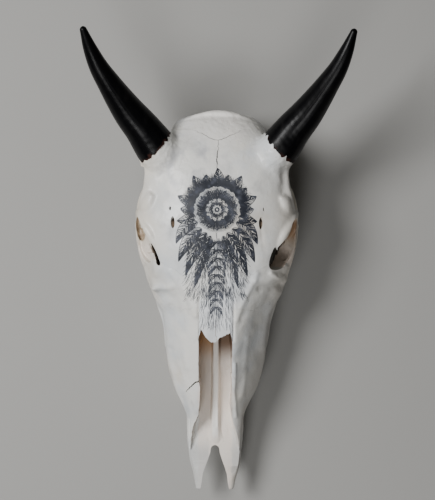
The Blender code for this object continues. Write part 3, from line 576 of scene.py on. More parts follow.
# Masses that are built on both sides, given for the left.
MASSES: dict[str, Form] = {
    "brow_end": Bar(((0.065, 0.056, 0.117), (0.0698, 0.047, 0.114), (0.0735, 0.04, 0.1055),
        (0.0765, 0.036, 0.092)), (0.005, 0.007, 0.007, 0.005), (0.0035, 0.0045, 0.0045, 0.0035),
        (0.8, 0.2, 0.6)),
    "temple_edge": Bar(((0.065, 0.07, 0.1115), (0.0685, 0.06, 0.1105), (0.0714, 0.049, 0.109),
        (0.075, 0.039, 0.1005)), (0.0058, 0.0066, 0.0068, 0.0055), 0.0046, (0.4, 0.15, 0.9)),
    "orbit_rim": Loop(((0.0655, 0.013, 0.1165), (0.0755, 0.03, 0.1085), (0.078, 0.0375, 0.093),
        (0.079, 0.031, 0.077), (0.0785, 0.011, 0.071), (0.073, -0.008, 0.075), (0.059, -0.0205, 0.088),
        (0.0545, -0.0085, 0.1065)), 0.0048),
    "arch": Bar(((0.078, 0.022, 0.0725), (0.0795, 0.036, 0.071), (0.077, 0.052, 0.066), (0.07, 0.067, 0.061),
        (0.06, 0.078, 0.058), (0.046, 0.088, 0.06)), (0.0045, 0.004, 0.004, 0.005, 0.008, 0.012),
        (0.0075, 0.007, 0.007, 0.0075, 0.008, 0.01)),
    "pedicle": Bar(((0.03, 0.072, 0.088), (0.0465, 0.088, 0.1005), (0.0617, 0.1024, 0.1135),
        (0.0675, 0.1092, 0.1162)), (0.0235, 0.0232, 0.0214, 0.0208), (0.0225, 0.0228, 0.0212, 0.0206),
        sides=48),
    "condyle": Ball((0.0165, 0.126, 0.034), (0.0105, 0.016, 0.015), (0.97, -0.24, 0)),
    "process": Bar(((0.036, 0.095, 0.056), (0.0385, 0.104, 0.036), (0.037, 0.1085, 0.017),
        (0.0345, 0.111, -0.003)), (0.01, 0.0075, 0.0056, 0.0044), (0.016, 0.0135, 0.0095, 0.0062),
        (0, 1, 0)),
    "bulla": Ball((0.0245, 0.08, 0.0265), (0.01, 0.016, 0.0135)),
    "mastoid": Ball((0.045, 0.099, 0.056), (0.009, 0.014, 0.018)),
    "ear_tube": Bar(((0.03, 0.083, 0.05), (0.046, 0.084, 0.053), (0.053, 0.085, 0.055)), 0.0065, 0.0065),
    "glenoid": Ball((0.05, 0.07, 0.055), (0.014, 0.009, 0.006)),
    "cheek_crest": Bar(((0.066, -0.024, 0.069), (0.0603, -0.048, 0.062), (0.053, -0.075, 0.055),
        (0.049, -0.1, 0.049)), 0.004, 0.0042),
    "pterygoid": Bar(((0.0185, -0.044, 0.03), (0.0165, -0.024, 0.029), (0.015, -0.004, 0.03),
        (0.0155, 0.014, 0.034), (0.018, 0.032, 0.042)), 0.0026, (0.013, 0.014, 0.013, 0.011, 0.007)),
    "tuber": Ball((0.036, -0.046, 0.031), (0.012, 0.014, 0.014)),
}

MIDLINE_MASSES: dict[str, Form] = {
    "nuchal_crest": Bar(((-0.047, 0.112, 0.078), (-0.04, 0.125, 0.086), (-0.022, 0.1345, 0.092),
        (0, 0.1385, 0.0945), (0.022, 0.1345, 0.092), (0.04, 0.125, 0.086), (0.047, 0.112, 0.078)),
        0.0036, 0.0042, rings=80),
    "skull_base": Bar(((0, 0.128, 0.036), (0, 0.105, 0.035), (0, 0.075, 0.036), (0, 0.04, 0.042),
        (0, 0.01, 0.048)), (0.013, 0.014, 0.012, 0.01, 0.009), 0.007),
}

HOLLOWS: dict[str, Form] = {
    "orbit": Ball((0.058, 0.011, 0.0945), (0.031, 0.0225, 0.0215), (0.87, -0.42, 0.3)),
    "temple": Bar(((0.054, 0.0, 0.088), (0.057, 0.024, 0.087), (0.0585, 0.046, 0.083), (0.06, 0.064, 0.079)),
        (0.01, 0.0135, 0.0135, 0.01), (0.012, 0.0135, 0.0135, 0.01)),
    "under_orbit": Bar(((0.046, -0.028, 0.041), (0.048, -0.008, 0.049), (0.0495, 0.012, 0.057),
        (0.053, 0.034, 0.063), (0.058, 0.056, 0.069)), (0.009, 0.0145, 0.0165, 0.0135, 0.009),
        (0.009, 0.014, 0.0185, 0.0175, 0.011)),
}

MIDLINE_HOLLOWS: dict[str, Form] = {
    "throat": Bar(((0, -0.06, 0.041), (0, -0.044, 0.037), (0, -0.024, 0.031), (0, 0.0, 0.024),
        (0, 0.03, 0.018)), (0.011, 0.0128, 0.0118, 0.0108, 0.012), (0.006, 0.01, 0.014, 0.016, 0.016)),
    "nape_opening": Bar(((0, 0.1, 0.051), (0, 0.12, 0.05), (0, 0.135, 0.047), (0, 0.152, 0.044)),
        (0.006, 0.0095, 0.0115, 0.013), (0.006, 0.0085, 0.0095, 0.011)),
}

# Fills the front of the right socket, so that the cheekbone's face runs flush up to the brow.
CHEEK_FACE = (
    Bar(((0.0765, 0.013, 0.0795), (0.0728, 0.001, 0.082), (0.0662, -0.009, 0.087), (0.059, -0.0155, 0.0955)),
        (0.005, 0.0085, 0.0085, 0.005), (0.002, 0.0032, 0.0032, 0.002), (0.85, -0.25, 0.45)),
    Bar(((0.078, 0.0335, 0.079), (0.076, 0.0225, 0.0775), (0.0732, 0.012, 0.0785)), (0.004, 0.0048, 0.0045),
        0.0022, (0.3, 0, 1)),
    Bar(((0.0755, 0.02, 0.079), (0.0712, 0.0105, 0.0825), (0.0668, 0.0035, 0.088), (0.0625, -0.003, 0.093)),
        (0.0045, 0.0062, 0.0062, 0.0045), (0.002, 0.003, 0.003, 0.002), (0.85, -0.25, 0.45)),
)

PITS: dict[str, Form] = {
    "brow_pit": Ball(BROW_PIT, (0.009, 0.0022, 0.006), (0.35, 0.25, 1), (0, 1, 0)),
    "brow_pore": Ball((0.047, 0.0412, 0.1285), (0.007, 0.001, 0.002), (0.4, 0.2, 1), (0, 1, 0)),
    "cheek_pit": Ball((0.047, -0.118, 0.0455), (0.008, 0.003, 0.0038), (0.8, -0.6, 0.1)),
    "palate_pit": Ball((0.019, -0.078, 0.0305), (0.002, 0.0036, 0.008)),
    "ear_pit": Ball((0.056, 0.0855, 0.0555), (0.008, 0.0032, 0.0036), (1, 0.1, 0.1)),
    "throat_pore": Ball((0.014, 0.101, 0.029), (0.003, 0.003, 0.006)),
    "jaw_facet": Bar(((0.03, -0.186, 0.047), (0.0276, -0.2, 0.0452), (0.0262, -0.215, 0.0443),
        (0.024, -0.232, 0.042)), (0.0002, 0.0011, 0.0012, 0.0003), (0.001, 0.0035, 0.003, 0.001)),
    "low_jaw_facet": Bar(((0.0315, -0.19, 0.041), (0.03, -0.205, 0.04), (0.0278, -0.222, 0.0385)),
        (0.0003, 0.0012, 0.0003), (0.0005, 0.0007, 0.0005)),
}


@dataclass(frozen=True)
class Scoop(Form):
    """Bowl with a crisp outline in plan, open above."""

    rim: Sequence[Point]
    depth: float
    count: int = 80
    shares: Sequence[float] = (0.15, 0.45, 0.7, 0.88, 1.0)

    def build(self, name: str, side: Side) -> Solid:
        """Build the bowl's space on one side.

        Args:
            name: Name of the solid.
            side: Side of the skull.

        Returns:
            The solid.
        """
        rim = smooth_loop([side.place(point) for point in self.rim], self.count)
        middle = rim.mean(axis=0)
        rings = []
        for share in self.shares:
            ring = middle + (rim - middle) * share
            ring[:, 2] -= self.depth * (1 - share ** 2)
            rings.append(ring)
        rings.append(np.column_stack([rim[:, :2], np.full(len(rim), OVERHEAD)]))
        return Solid.loft(name, rings)


# The sockets are not alike: on the right side a recess and a narrow slit show, on the left a wide crescent.
SOCKETS: tuple[tuple[Side, Form], ...] = (
    (Side.RIGHT, Scoop(((0.0814, 0.0335, 0.0815), (0.079, 0.031, 0.081), (0.0775, 0.0265, 0.0805),
        (0.0762, 0.021, 0.0805), (0.0746, 0.015, 0.081), (0.074, 0.0112, 0.0815), (0.0762, 0.009, 0.0815),
        (0.079, 0.01, 0.08), (0.0812, 0.014, 0.0795), (0.0826, 0.021, 0.0795), (0.0829, 0.027, 0.08),
        (0.0824, 0.0315, 0.081)), 0.0042)),
    (Side.RIGHT, Bar(((0.066, 0.0062, 0.099), (0.0645, 0.003, 0.099), (0.0614, -0.004, 0.099),
        (0.0593, -0.01, 0.099), (0.0576, -0.0152, 0.099), (0.0573, -0.016, 0.099)),
        (0.001, 0.0018, 0.0023, 0.0025, 0.0021, 0.001), 0.0225, sides=16)),
    (Side.LEFT, Scoop(((0.08, 0.033, 0.085), (0.0764, 0.0284, 0.076), (0.074, 0.0203, 0.073),
        (0.0705, 0.0132, 0.072), (0.0649, 0.0071, 0.072), (0.0612, 0.003, 0.072), (0.0606, 0.0002, 0.072),
        (0.0583, 0.0034, 0.072), (0.055, -0.0025, 0.073), (0.0526, -0.0115, 0.08), (0.053, -0.017, 0.088),
        (0.056, -0.0195, 0.094), (0.0615, -0.0195, 0.095), (0.0669, -0.0173, 0.093), (0.0705, -0.013, 0.09),
        (0.0732, -0.0065, 0.087), (0.0758, 0.001, 0.082), (0.0783, 0.0091, 0.0795), (0.0803, 0.0183, 0.0788),
        (0.0814, 0.0264, 0.0805), (0.0812, 0.0315, 0.084)), 0.0028)),
    (Side.LEFT, Bar(((0.0592, 0.003, 0.082), (0.056, -0.004, 0.08), (0.0545, -0.01, 0.08),
        (0.0545, -0.0155, 0.082)), (0.0016, 0.004, 0.0042, 0.0024), 0.03, sides=16)),
)


@dataclass
class NoiseField:
    """Smooth random values over space, the same in each run."""

    seed: int
    size: int = 40
    grid: np.ndarray = field(init=False)

    def __post_init__(self) -> None:
        """Draw the values on a grid that repeats."""
        self.grid = np.random.default_rng(self.seed).uniform(-1, 1, (self.size,) * 3)

    def at(self, points: np.ndarray, wavelength: Union[float, Point]) -> np.ndarray:
        """Read the field.

        Args:
            points: Positions, one row each.
            wavelength: Size of the field's waves, or one size per axis.

        Returns:
            A value from -1 to 1 per position.
        """
        cell = points / np.asarray(wavelength)
        low = np.floor(cell).astype(int)
        t = cell - low
        t = t * t * (3 - 2 * t)
        value = np.zeros(len(points))
        for corner in itertools.product((0, 1), repeat=3):
            index = (low + corner) % self.size
            weight = np.prod(np.where(corner, t, 1 - t), axis=1)
            value += weight * self.grid[index[:, 0], index[:, 1], index[:, 2]]
        return value


def distance_to_path(points: np.ndarray, path: Sequence[Point]) -> np.ndarray:
    """Distance from each point to a chain of straight segments.

    Args:
        points: Positions, one row each.
        path: Corners of the chain.

    Returns:
        The distances.
    """
    nearest = np.full(len(points), np.inf)
    for a, b in zip(np.array(path[:-1], float), np.array(path[1:], float)):
        along = b - a
        t = np.clip((points - a) @ along / along.dot(along), 0, 1)
        nearest = np.minimum(nearest, np.linalg.norm(points - a - t[:, None] * along, axis=1))
    return nearest


def plan_distance(points: np.ndarray, path: Plan) -> np.ndarray:
    """Distance from each point to a chain of segments, both seen from above."""
    return distance_to_path(points * (1, 1, 0), [(x, y, 0) for x, y in path])


def midline_wander(y: float) -> float:
    """Sideways wander of the midline suture at a place along it."""
    return 0.0007 * math.sin(190 * y + 0.6) + 0.0004 * math.sin(830 * y) + 0.0003 * math.sin(1490 * y + 1)


class View(Enum):
    """How a region's outline is drawn: from above in x and y, or from the side in y and z."""

    PLAN = "plan"
    FLANK = "flank"


class Edge(Enum):
    """Which edge of its sutures a region reaches to."""

    BONE = -1
    GAP = 1


@dataclass(frozen=True)
class Region:
    """Straight-sided space that holds one bone, its outline broken up like a real suture."""

    view: View
    outline: Sequence[Sequence[float]]
    inner: float
    outer: float
    slope: float = 0.0
    gap: float = 0.00016
    jag: float = 0.0009
    seed: int = 0
    jag_length: float = 0.0022
    longest_jagged: float = 0.06
    sharpest_mitre: float = 0.4

    def _broken(self, side: Side) -> np.ndarray:
        """Break up the outline's edges.

        Args:
            side: Side of the skull.

        Returns:
            Both coordinates and the gap's width, one row per corner.
        """
        rng = np.random.default_rng(self.seed * 2 + side.value + 1)
        ring = [(*corner, self.gap)[:3] for corner in self.outline]
        made = []
        for (u, v, wide), (p, q, next_wide) in zip(ring, ring[1:] + ring[:1]):
            length = math.hypot(p - u, q - v)
            midline = self.view is View.PLAN and u == 0 and p == 0
            reach = 0.0 if length > self.longest_jagged and not midline else self.jag
            steps = max(1, round(length / self.jag_length)) if reach else 1
            for i in range(steps):
                t = i / steps
                x, y = u + (p - u) * t, v + (q - v) * t
                if midline:
                    x = side.value * midline_wander(y)
                elif i:
                    push = reach * rng.uniform(-1, 1)
                    x, y = x + push * (q - v) / length, y - push * (p - u) / length
                made.append((x, y, wide + (next_wide - wide) * t))
        return np.array(made)

    def build(self, name: str, side: Side, edge: Edge) -> Solid:
        """Build the region on one side.

        Args:
            name: Name of the solid.
            side: Side of the skull.
            edge: Edge of the sutures that it reaches to.

        Returns:
            The solid.
        """
        broken = self._broken(side)
        ring, half_gap = broken[:, :2], broken[:, 2] / 2 * edge.value
        area = np.sum(ring[:, 0] * np.roll(ring[:, 1], -1) - np.roll(ring[:, 0], -1) * ring[:, 1])
        if area < 0:
            ring, half_gap = ring[::-1], half_gap[::-1]
        after = unit(np.roll(ring, -1, axis=0) - ring)
        normal = np.column_stack([after[:, 1], -after[:, 0]])
        mitre = normal + np.roll(normal, 1, axis=0)
        mitre /= np.maximum(np.sum(mitre * normal, axis=1), self.sharpest_mitre)[:, None]
        rings: tuple[list, list] = ([], [])
        for u, v in ring + mitre * half_gap[:, None]:
            along = v if self.view is View.PLAN else u
            depth = self.inner + self.slope * along - self.gap / 2 * edge.value * math.hypot(1, self.slope)
            for made, d in zip(rings, (depth, self.outer)):
                made.append(side.place((u, v, d) if self.view is View.PLAN else (d, u, v)))
        return Solid.loft(name, rings)


FRONTAL = Region(View.PLAN, ((0, 0.11, 0.00035), (0, 0.086, 0.0005), (0, 0.07, 0.0002), (0, -0.008),
    (0.01, -0.022), (0.0175, -0.042), (0.03, -0.028), (0.045, -0.018), (0.056, -0.0125), (0.1, -0.006),
    (0.1, 0.135), (0.062, 0.132), (0.04, 0.1215), (0.026, 0.1215, 0.0001), (0.0125, 0.115, 0.0004),
    (0.004, 0.1106, 0.0005)), 0.0955, OVERHEAD, -0.0625, gap=0.0001, jag=0.0006, seed=1)
NASAL = Region(View.PLAN, ((0, -0.11, 0.0005), (0.012, -0.11), (0.016, -0.0945, 0.0004),
    (0.0172, -0.0915, 0.0004), (0.0172, -0.05, 0.0002), (0.0172, -0.005), (0, -0.005, 0.0003)),
    0.1233, OVERHEAD, 0.27, jag=0.0002, seed=2)
ZYGOMATIC = Region(View.FLANK, ((-0.064, 0.071), (-0.054, 0.0862), (-0.012, 0.0838), (0.0, 0.09),
    (0.015, 0.1), (0.047, 0.1), (0.062, 0.079), (0.052, 0.062), (0.04, 0.05), (-0.02, 0.05), (-0.05, 0.055)),
    0.0605, 0.1, 0.11, seed=3)
LACRIMAL = Region(View.FLANK, ((-0.004, 0.0845), (-0.004, 0.14), (-0.054, 0.14), (-0.061, 0.105),
    (-0.052, 0.0875)), 0.0172, 0.1, seed=4)
MAXILLA = Region(View.FLANK, ((-0.3, -0.05), (-0.034, -0.05), (-0.034, 0.03), (-0.03, 0.06), (-0.022, 0.084),
    (-0.012, 0.1), (-0.012, 0.15), (-0.3, 0.15)), 0, 0.1, jag=0.0007, seed=5)
OCCIPUT = Region(View.FLANK, ((0.16, 0.101), (0.131, 0.1), (0.108, 0.08), (0.094, 0.06), (0.092, 0.03),
    (0.088, -0.05), (0.16, -0.05)), -0.1, 0.1, seed=6)
PARTING = (
    ("frontal", FRONTAL),
    ("nasal", NASAL),
    ("zygomatic", ZYGOMATIC),
    ("lacrimal", LACRIMAL),
    ("maxilla", MAXILLA),
)


@dataclass(frozen=True)
class Swell:
    """Soft ridge, or groove where its height is negative, along a path seen from above."""

    side: Side
    path: Plan
    width: float
    height: float

    def rise(self, points: np.ndarray) -> np.ndarray:
        """How far each point of the skull's upper side is raised."""
        path = [(x * self.side.value, y) for x, y in self.path]
        return self.height * fall_off(plan_distance(points, path), self.width)


@dataclass(frozen=True)
class Mark:
    """Ridge or knob on the bone, or a groove or dent where its height is negative."""

    path: Sequence[Point]
    width: float
    height: float
    stretch: Point = (1, 1, 1)
    uneven: float = 0.0

    def rise(self, points: np.ndarray, side: Side = Side.LEFT) -> np.ndarray:
        """How far each point is raised.

        Args:
            points: Positions, one row each.
            side: Side of the skull.

        Returns:
            The rise of each point.
        """
        path = [side.place(point) for point in self.path]
        if len(path) > 1:
            away = distance_to_path(points, path)
        else:
            away = np.linalg.norm((points - path[0]) / self.stretch, axis=1)
        return (self.height + self.uneven * side.value) * fall_off(away, self.width)


FACE_MARKS = (
    Mark(((0.044, 0.024, 0.1275), (0.045, 0.01, 0.1255), (0.0465, -0.004, 0.122)), 0.0017, -0.0007),
    Mark(((0.046, -0.121, 0.053), (0.04, -0.138, 0.054), (0.033, -0.158, 0.052)), 0.0022, -0.0004),
    Mark(((0.071, 0.048, 0.114), (0.066, 0.066, 0.117), (0.057, 0.08, 0.122)), 0.003, 0.0005),
)
NAPE_MARKS = (
    Mark(((0.019, 0.136, 0.077),), 0.0085, -0.0017, stretch=(1, 1, 1.2)),
    Mark(((0.0425, 0.1225, 0.084),), 0.01, -0.0016, uneven=0.0008),
    Mark(((0.006, 0.137, 0.086), (0.022, 0.133, 0.083), (0.038, 0.122, 0.074)), 0.002, 0.0009),
)
MIDLINE_MARKS = (
    Mark(((0, 0.138, 0.088),), 0.0055, 0.0018),
    Mark(((0, 0.136, 0.086), (0, 0.138, 0.074), (0, 0.137, 0.064)), 0.0024, 0.0013),
)


SWELLS = (
    Swell(Side.RIGHT, ((0.059, -0.0377), (0.0594, -0.038)), 0.003, 0.0022),
    Swell(Side.RIGHT, ((0.0579, -0.019), (0.0644, -0.0275), (0.062, -0.036)), 0.005, 0.002),
    Swell(Side.RIGHT, ((0.044, -0.037), (0.052, -0.0392), (0.0607, -0.0367)), 0.003, 0.0012),
    Swell(Side.RIGHT, ((0.0607, -0.0367), (0.0544, -0.051), (0.0499, -0.0765), (0.0476, -0.097)),
        0.0038, 0.0015),
    Swell(Side.RIGHT, ((0.052, -0.047), (0.044, -0.05), (0.04, -0.065)), 0.006, -0.0022),
    Swell(Side.RIGHT, ((0.047, -0.0215), (0.038, -0.033), (0.027, -0.05), (0.021, -0.066)), 0.003, 0.0014),
    Swell(Side.RIGHT, ((0.033, -0.09), (0.03, -0.12)), 0.0038, 0.001),
    Swell(Side.LEFT, ((0.0543, -0.0225), (0.0605, -0.0265), (0.0676, -0.0245), (0.071, -0.0165)),
        0.0024, 0.002),
    Swell(Side.LEFT, ((0.0393, -0.03), (0.0504, -0.029), (0.0617, -0.0275), (0.068, -0.03)), 0.0038, 0.0019),
    Swell(Side.LEFT, ((0.0444, -0.0388), (0.0566, -0.0385), (0.0658, -0.0346)), 0.0034, -0.0028),
    Swell(Side.LEFT, ((0.054, -0.049), (0.046, -0.058), (0.042, -0.072)), 0.007, -0.002),
    Swell(Side.LEFT, ((0.0628, -0.0428), (0.056, -0.054), (0.0505, -0.0765), (0.048, -0.1)), 0.0038, 0.0016),
    Swell(Side.LEFT, ((0.04, -0.023), (0.033, -0.04), (0.025, -0.056), (0.021, -0.07)), 0.003, 0.0013),
    Swell(Side.LEFT, ((0.0192, -0.116), (0.019, -0.145), (0.0212, -0.172)), 0.0018, 0.0014),
    Swell(Side.RIGHT, ((0.0278, -0.176), (0.0272, -0.195), (0.0256, -0.22), (0.0215, -0.242)),
        0.0008, -0.001),
    Swell(Side.LEFT, ((0.0282, -0.18), (0.0274, -0.2), (0.025, -0.23)), 0.0008, -0.001),
    Swell(Side.LEFT, ((0.0292, -0.17), (0.028, -0.21)), 0.0008, -0.0008),
    Swell(Side.RIGHT, ((0.0174, -0.048), (0.0176, -0.07), (0.0174, -0.0915)), 0.0012, -0.001),
    Swell(Side.LEFT, ((0.0174, -0.048), (0.0176, -0.07), (0.0174, -0.0915)), 0.0012, -0.001),
    Swell(Side.LEFT, ((0.032, -0.09), (0.03, -0.125), (0.028, -0.15)), 0.0034, 0.0011),
    Swell(Side.LEFT, ((0.0672, 0.079), (0.0668, 0.066), (0.0685, 0.057)), 0.0042, -0.002),
)


@dataclass(frozen=True)
class Crack:
    """Thin upright crack with a wandering course, seen from above."""

    name: str
    path: Plan
    width: float
    low: float
    seed: int
    steps: int = 22
    wander: float = 0.00035
    taper: Plan = ((0, 1), (6, 1), (17, 0.6), (21, 0.12))

    def build(self) -> Solid:
        """Build the space of the crack.

        Returns:
            The solid.
        """
        rng = np.random.default_rng(self.seed)
        at = np.linspace(0, len(self.path) - 1, self.steps)
        line = smooth_line(np.arange(len(self.path)), np.array(self.path), at)
        line = line + rng.uniform(-1, 1, line.shape) * self.wander
        ahead = np.gradient(line, axis=0)
        across = np.column_stack([-ahead[:, 1], ahead[:, 0]]) / np.linalg.norm(ahead, axis=1)[:, None]
        half = self.width / 2 * np.interp(np.arange(self.steps), *zip(*self.taper))[:, None]
        ring = np.vstack([line + across * half, (line - across * half)[::-1]])
        levels = (self.low, OVERHEAD)
        return Solid.loft(self.name, [np.column_stack([ring, np.full(len(ring), z)]) for z in levels])


CRACKS = (
    Crack("jaw_crack", ((-0.016, -0.134), (-0.0208, -0.136), (-0.0262, -0.1415), (-0.0318, -0.1482)),
        0.0015, 0.066, 1),
    Crack("crown_crack", ((0.0004, 0.1), (-0.0006, 0.092), (0.0002, 0.084)), 0.0009, 0.1235, 2),
)


@dataclass
class SkullBone:
    """The whole bone: its masses, hollows, relief and the bones it parts into."""

    voxel: float
    coarser: float = 1.15
    fusing_reach: float = 0.0037
    flare_reach: float = 0.0095
    hollow_reach: float = 0.0021
    round_points: int = 96
    loft_rings: int = 200
    cavity_rings: int = 140
    rest_height: float = 0.0001
    # Nasal cavity: y, half width to the right and left sides, floor, top, floor width as a share.
    cavity: Sequence[Point] = (
        (-0.06, 0.0125, 0.0125, 0.06, 0.098, 0.6), (-0.072, 0.015, 0.015, 0.05, 0.1025, 0.75),
        (-0.088, 0.016, 0.0157, 0.0435, 0.1035, 0.85), (-0.1075, 0.0176, 0.0168, 0.042, 0.098, 0.92),
        (-0.134, 0.0177, 0.0166, 0.041, 0.2, 0.94), (-0.1395, 0.016, 0.0168, 0.041, 0.2, 0.95),
        (-0.15, 0.0164, 0.017, 0.041, 0.2, 0.95), (-0.16, 0.0167, 0.0152, 0.041, 0.2, 0.96),
        (-0.171, 0.0179, 0.0171, 0.041, 0.2, 0.94), (-0.179, 0.0214, 0.0192, 0.041, 0.2, 0.9),
        (-0.189, 0.0245, 0.0222, 0.041, 0.2, 0.88), (-0.2, 0.0256, 0.0248, 0.0415, 0.2, 0.9),
        (-0.2125, 0.0268, 0.0262, 0.0425, 0.2, 1), (-0.235, 0.03, 0.03, 0.0415, 0.2, 1),
        (-0.262, 0.03, 0.03, 0.039, 0.2, 1),
    )
    opening: Plan = (
        (-0.0162, -0.14), (0.0168, -0.14), (0.0168, -0.0955), (0.0163, -0.0905), (0.0145, -0.0832),
        (0.0136, -0.0838), (0.0122, -0.0848), (0.0108, -0.0846), (0.0095, -0.0862), (0.0078, -0.0866),
        (0.0062, -0.0878), (0.0044, -0.088), (0.003, -0.089), (0.0016, -0.0912), (0.0002, -0.093),
        (-0.0016, -0.0934), (-0.003, -0.093), (-0.0046, -0.0934), (-0.0062, -0.0922),
        (-0.0078, -0.0906), (-0.009, -0.0894), (-0.0104, -0.088), (-0.0118, -0.0856),
        (-0.0134, -0.0826), (-0.0148, -0.0804), (-0.0156, -0.08), (-0.0164, -0.085),
        (-0.018, -0.09), (-0.0176, -0.0955), (-0.0175, -0.133), (-0.0168, -0.1362),
    )
    # Half of the gap between the jaw tips, which ends at the midline.
    notch: Plan = (
        (0.018, -0.262), (0.015, -0.2505), (0.0138, -0.244), (0.0126, -0.2345), (0.0104, -0.228),
        (0.0088, -0.2238), (0.0068, -0.218), (0.005, -0.2125), (0.0045, -0.2085), (0.0036, -0.2062),
        (0.002, -0.205), (0.0, -0.2046),
    )
    body: Solid = field(init=False)
    bones: dict[str, Solid] = field(init=False, default_factory=dict)

    def __post_init__(self) -> None:
        """Model the bone whole."""
        self.body = self._masses()
        self._hollow_out()
        self._relief()
        self._open_up()

    def _main_loft(self) -> Solid:
        """Skin the half-sections and their mirror images into one long solid.

        Returns:
            The solid.
        """
        rings = []
        for y, half in SECTIONS:
            other = [(-x, z) for x, z in half[-2:0:-1]]
            around = smooth_loop(list(half) + other, self.round_points)
            rings.append(np.column_stack([around[:, 0], np.full(len(around), y), around[:, 1]]))
        stations = np.array([y for y, _ in SECTIONS])
        at = np.linspace(stations[0], stations[-1], self.loft_rings)
        return Solid.loft("skull_body", smooth_line(stations, np.array(rings), at))

    def _masses(self) -> Solid:
        """Fuse the masses.

        Returns:
            The body that they make.
        """
        solids = [self._main_loft()]
        for name, form in MASSES.items():
            solids += form.both(name)
        solids += [form.build(name, Side.LEFT) for name, form in MIDLINE_MASSES.items()]
        body = Solid.joined("cranium", solids)
        body.even_out(self.voxel * self.coarser, self.fusing_reach)
        body.soften(self._about_horns(body.points()), self.flare_reach, self.voxel * self.coarser)
        LOG.info("masses fused: %d vertices", len(body.thing.data.vertices))
        return body

    @staticmethod
    def _about_horns(points: np.ndarray) -> np.ndarray:
        """Weigh the bone below each horn's edge, which flares evenly into the forehead.

        Args:
            points: Positions, one row each.

        Returns:
            A weight from 0 to 1 per position.
        """
        normal = unit(np.array(HORN_BASE_NORMAL))
        near = np.column_stack([np.abs(points[:, 0]), points[:, 1:]]) - HORN_BASE
        below = -(near @ normal)
        out = np.linalg.norm(near + below[:, None] * normal, axis=1)
        weights = smooth_step(0.0015, 0.009, below) * (1 - smooth_step(0.03, 0.046, np.hypot(out, below)))
        return weights * (points[:, 2] > 0.095)

    def _hollow_out(self) -> None:
        """Cut the hollows, fill the front of the right socket and soften the edges."""
        for name, form in HOLLOWS.items():
            for hollow in form.both(name):
                self.body.combine(hollow)
        for name, form in MIDLINE_HOLLOWS.items():
            self.body.combine(form.build(name, Side.LEFT))
        for form in CHEEK_FACE:
            self.body.combine(form.build("cheek_face", Side.RIGHT), Operation.UNION)
        self.body.even_out(self.voxel, self.hollow_reach)
        LOG.info("hollows cut: %d vertices", len(self.body.thing.data.vertices))

    @staticmethod
    def _waves(points: np.ndarray) -> np.ndarray:
        """Uneven surface of the bone, rougher about the horns and on the nape.

        Args:
            points: Positions, one row each.

        Returns:
            The rise of each point.
        """
        y = points[:, 1]
        from_horn = np.minimum(*(np.linalg.norm(points - side.place(HORN_BASE), axis=1) for side in Side))
        burr = 1 - smooth_step(0.021, 0.031, from_horn)
        nape = smooth_step(0.112, 0.132, y)
        front = smooth_step(0.16, 0.19, -y)
        jaw = smooth_step(-0.03, -0.06, y)
        return sum(
            strength * NoiseField(seed).at(points, wavelength)
            for seed, strength, wavelength in (
                (11, 0.00075, 0.026),
                (12, 0.00045, 0.011),
                (13, 0.00009 + 0.00026 * burr + 0.0002 * nape, 0.0036),
                (14, 0.00005 + 0.00014 * burr, 0.0018),
                (16, 0.00055 * jaw, (0.008, 0.045, 0.01)),
                (15, 0.0001 * front, (0.0016, 0.02, 0.002)),
            )
        )

    @staticmethod
    def _spur(points: np.ndarray) -> np.ndarray:
        """Small spur on the right edge of the brow, before the horn.

        Args:
            points: Positions, one row each.

        Returns:
            The rise of each point.
        """
        strip = points[(np.abs(points[:, 1] - 0.0833) < 0.002) & (points[:, 2] > 0.095)]
        spur = strip[np.argmin(strip[:, 0])]
        return 0.0019 * fall_off(np.linalg.norm(points - spur, axis=1), 0.0024)

    def _relief(self) -> None:
        """Raise and sink the bone's skin."""
        points, normals = self.body.points(), self.body.normals()
        x, y, z = points.T
        above = np.maximum(smooth_step(0.045, 0.06, z), smooth_step(-0.16, -0.172, y) * (z > 0.03))
        above *= smooth_step(-0.1, 0.15, normals[:, 2])
        rise = self._waves(points) + above * sum(swell.rise(points) for swell in SWELLS)
        palate = smooth_step(0.037, 0.034, z) * smooth_step(-0.155, -0.135, y)
        palate *= smooth_step(-0.045, -0.058, y)
        rise += self._spur(points) - 0.0028 * palate * np.clip(1 - (x / 0.023) ** 2, 0, 1)
        for side in Side:
            rise += sum(mark.rise(points, side) for mark in FACE_MARKS + NAPE_MARKS)
        rise += sum(mark.rise(points) for mark in MIDLINE_MARKS)
        still = smooth_step(0.002, 0.006, z) * smooth_step(-0.2525, -0.246, y)
        self.body.move_points(points + normals * (rise * still)[:, None])
        LOG.info("relief raised")

    def _cavity(self) -> Solid:
        """Build the space of the nasal cavity, whose edges wander.

        Returns:
            The solid.
        """
        rings = []
        table = np.array(self.cavity)
        at = np.linspace(table[0, 0], table[-1, 0], self.cavity_rings)
        wander = NoiseField(17).at(np.column_stack([at, at, at]), 0.0055) * 0.00045
        for i, y in enumerate(at):
            right, left, low, high, share = (np.interp(-y, -table[:, 0], column) for column in table[:, 1:].T)
            right, left = right + wander[i], left + wander[-i - 1]
            ring = ((-right * share, low), (left * share, low), (left * 0.98, low + 0.004),
                    (left, low + 0.01), (left, high), (-right, high), (-right, low + 0.01),
                    (-right * 0.98, low + 0.004))
            rings.append([(x, y, z) for x, z in ring])
        return Solid.loft("cavity", rings)

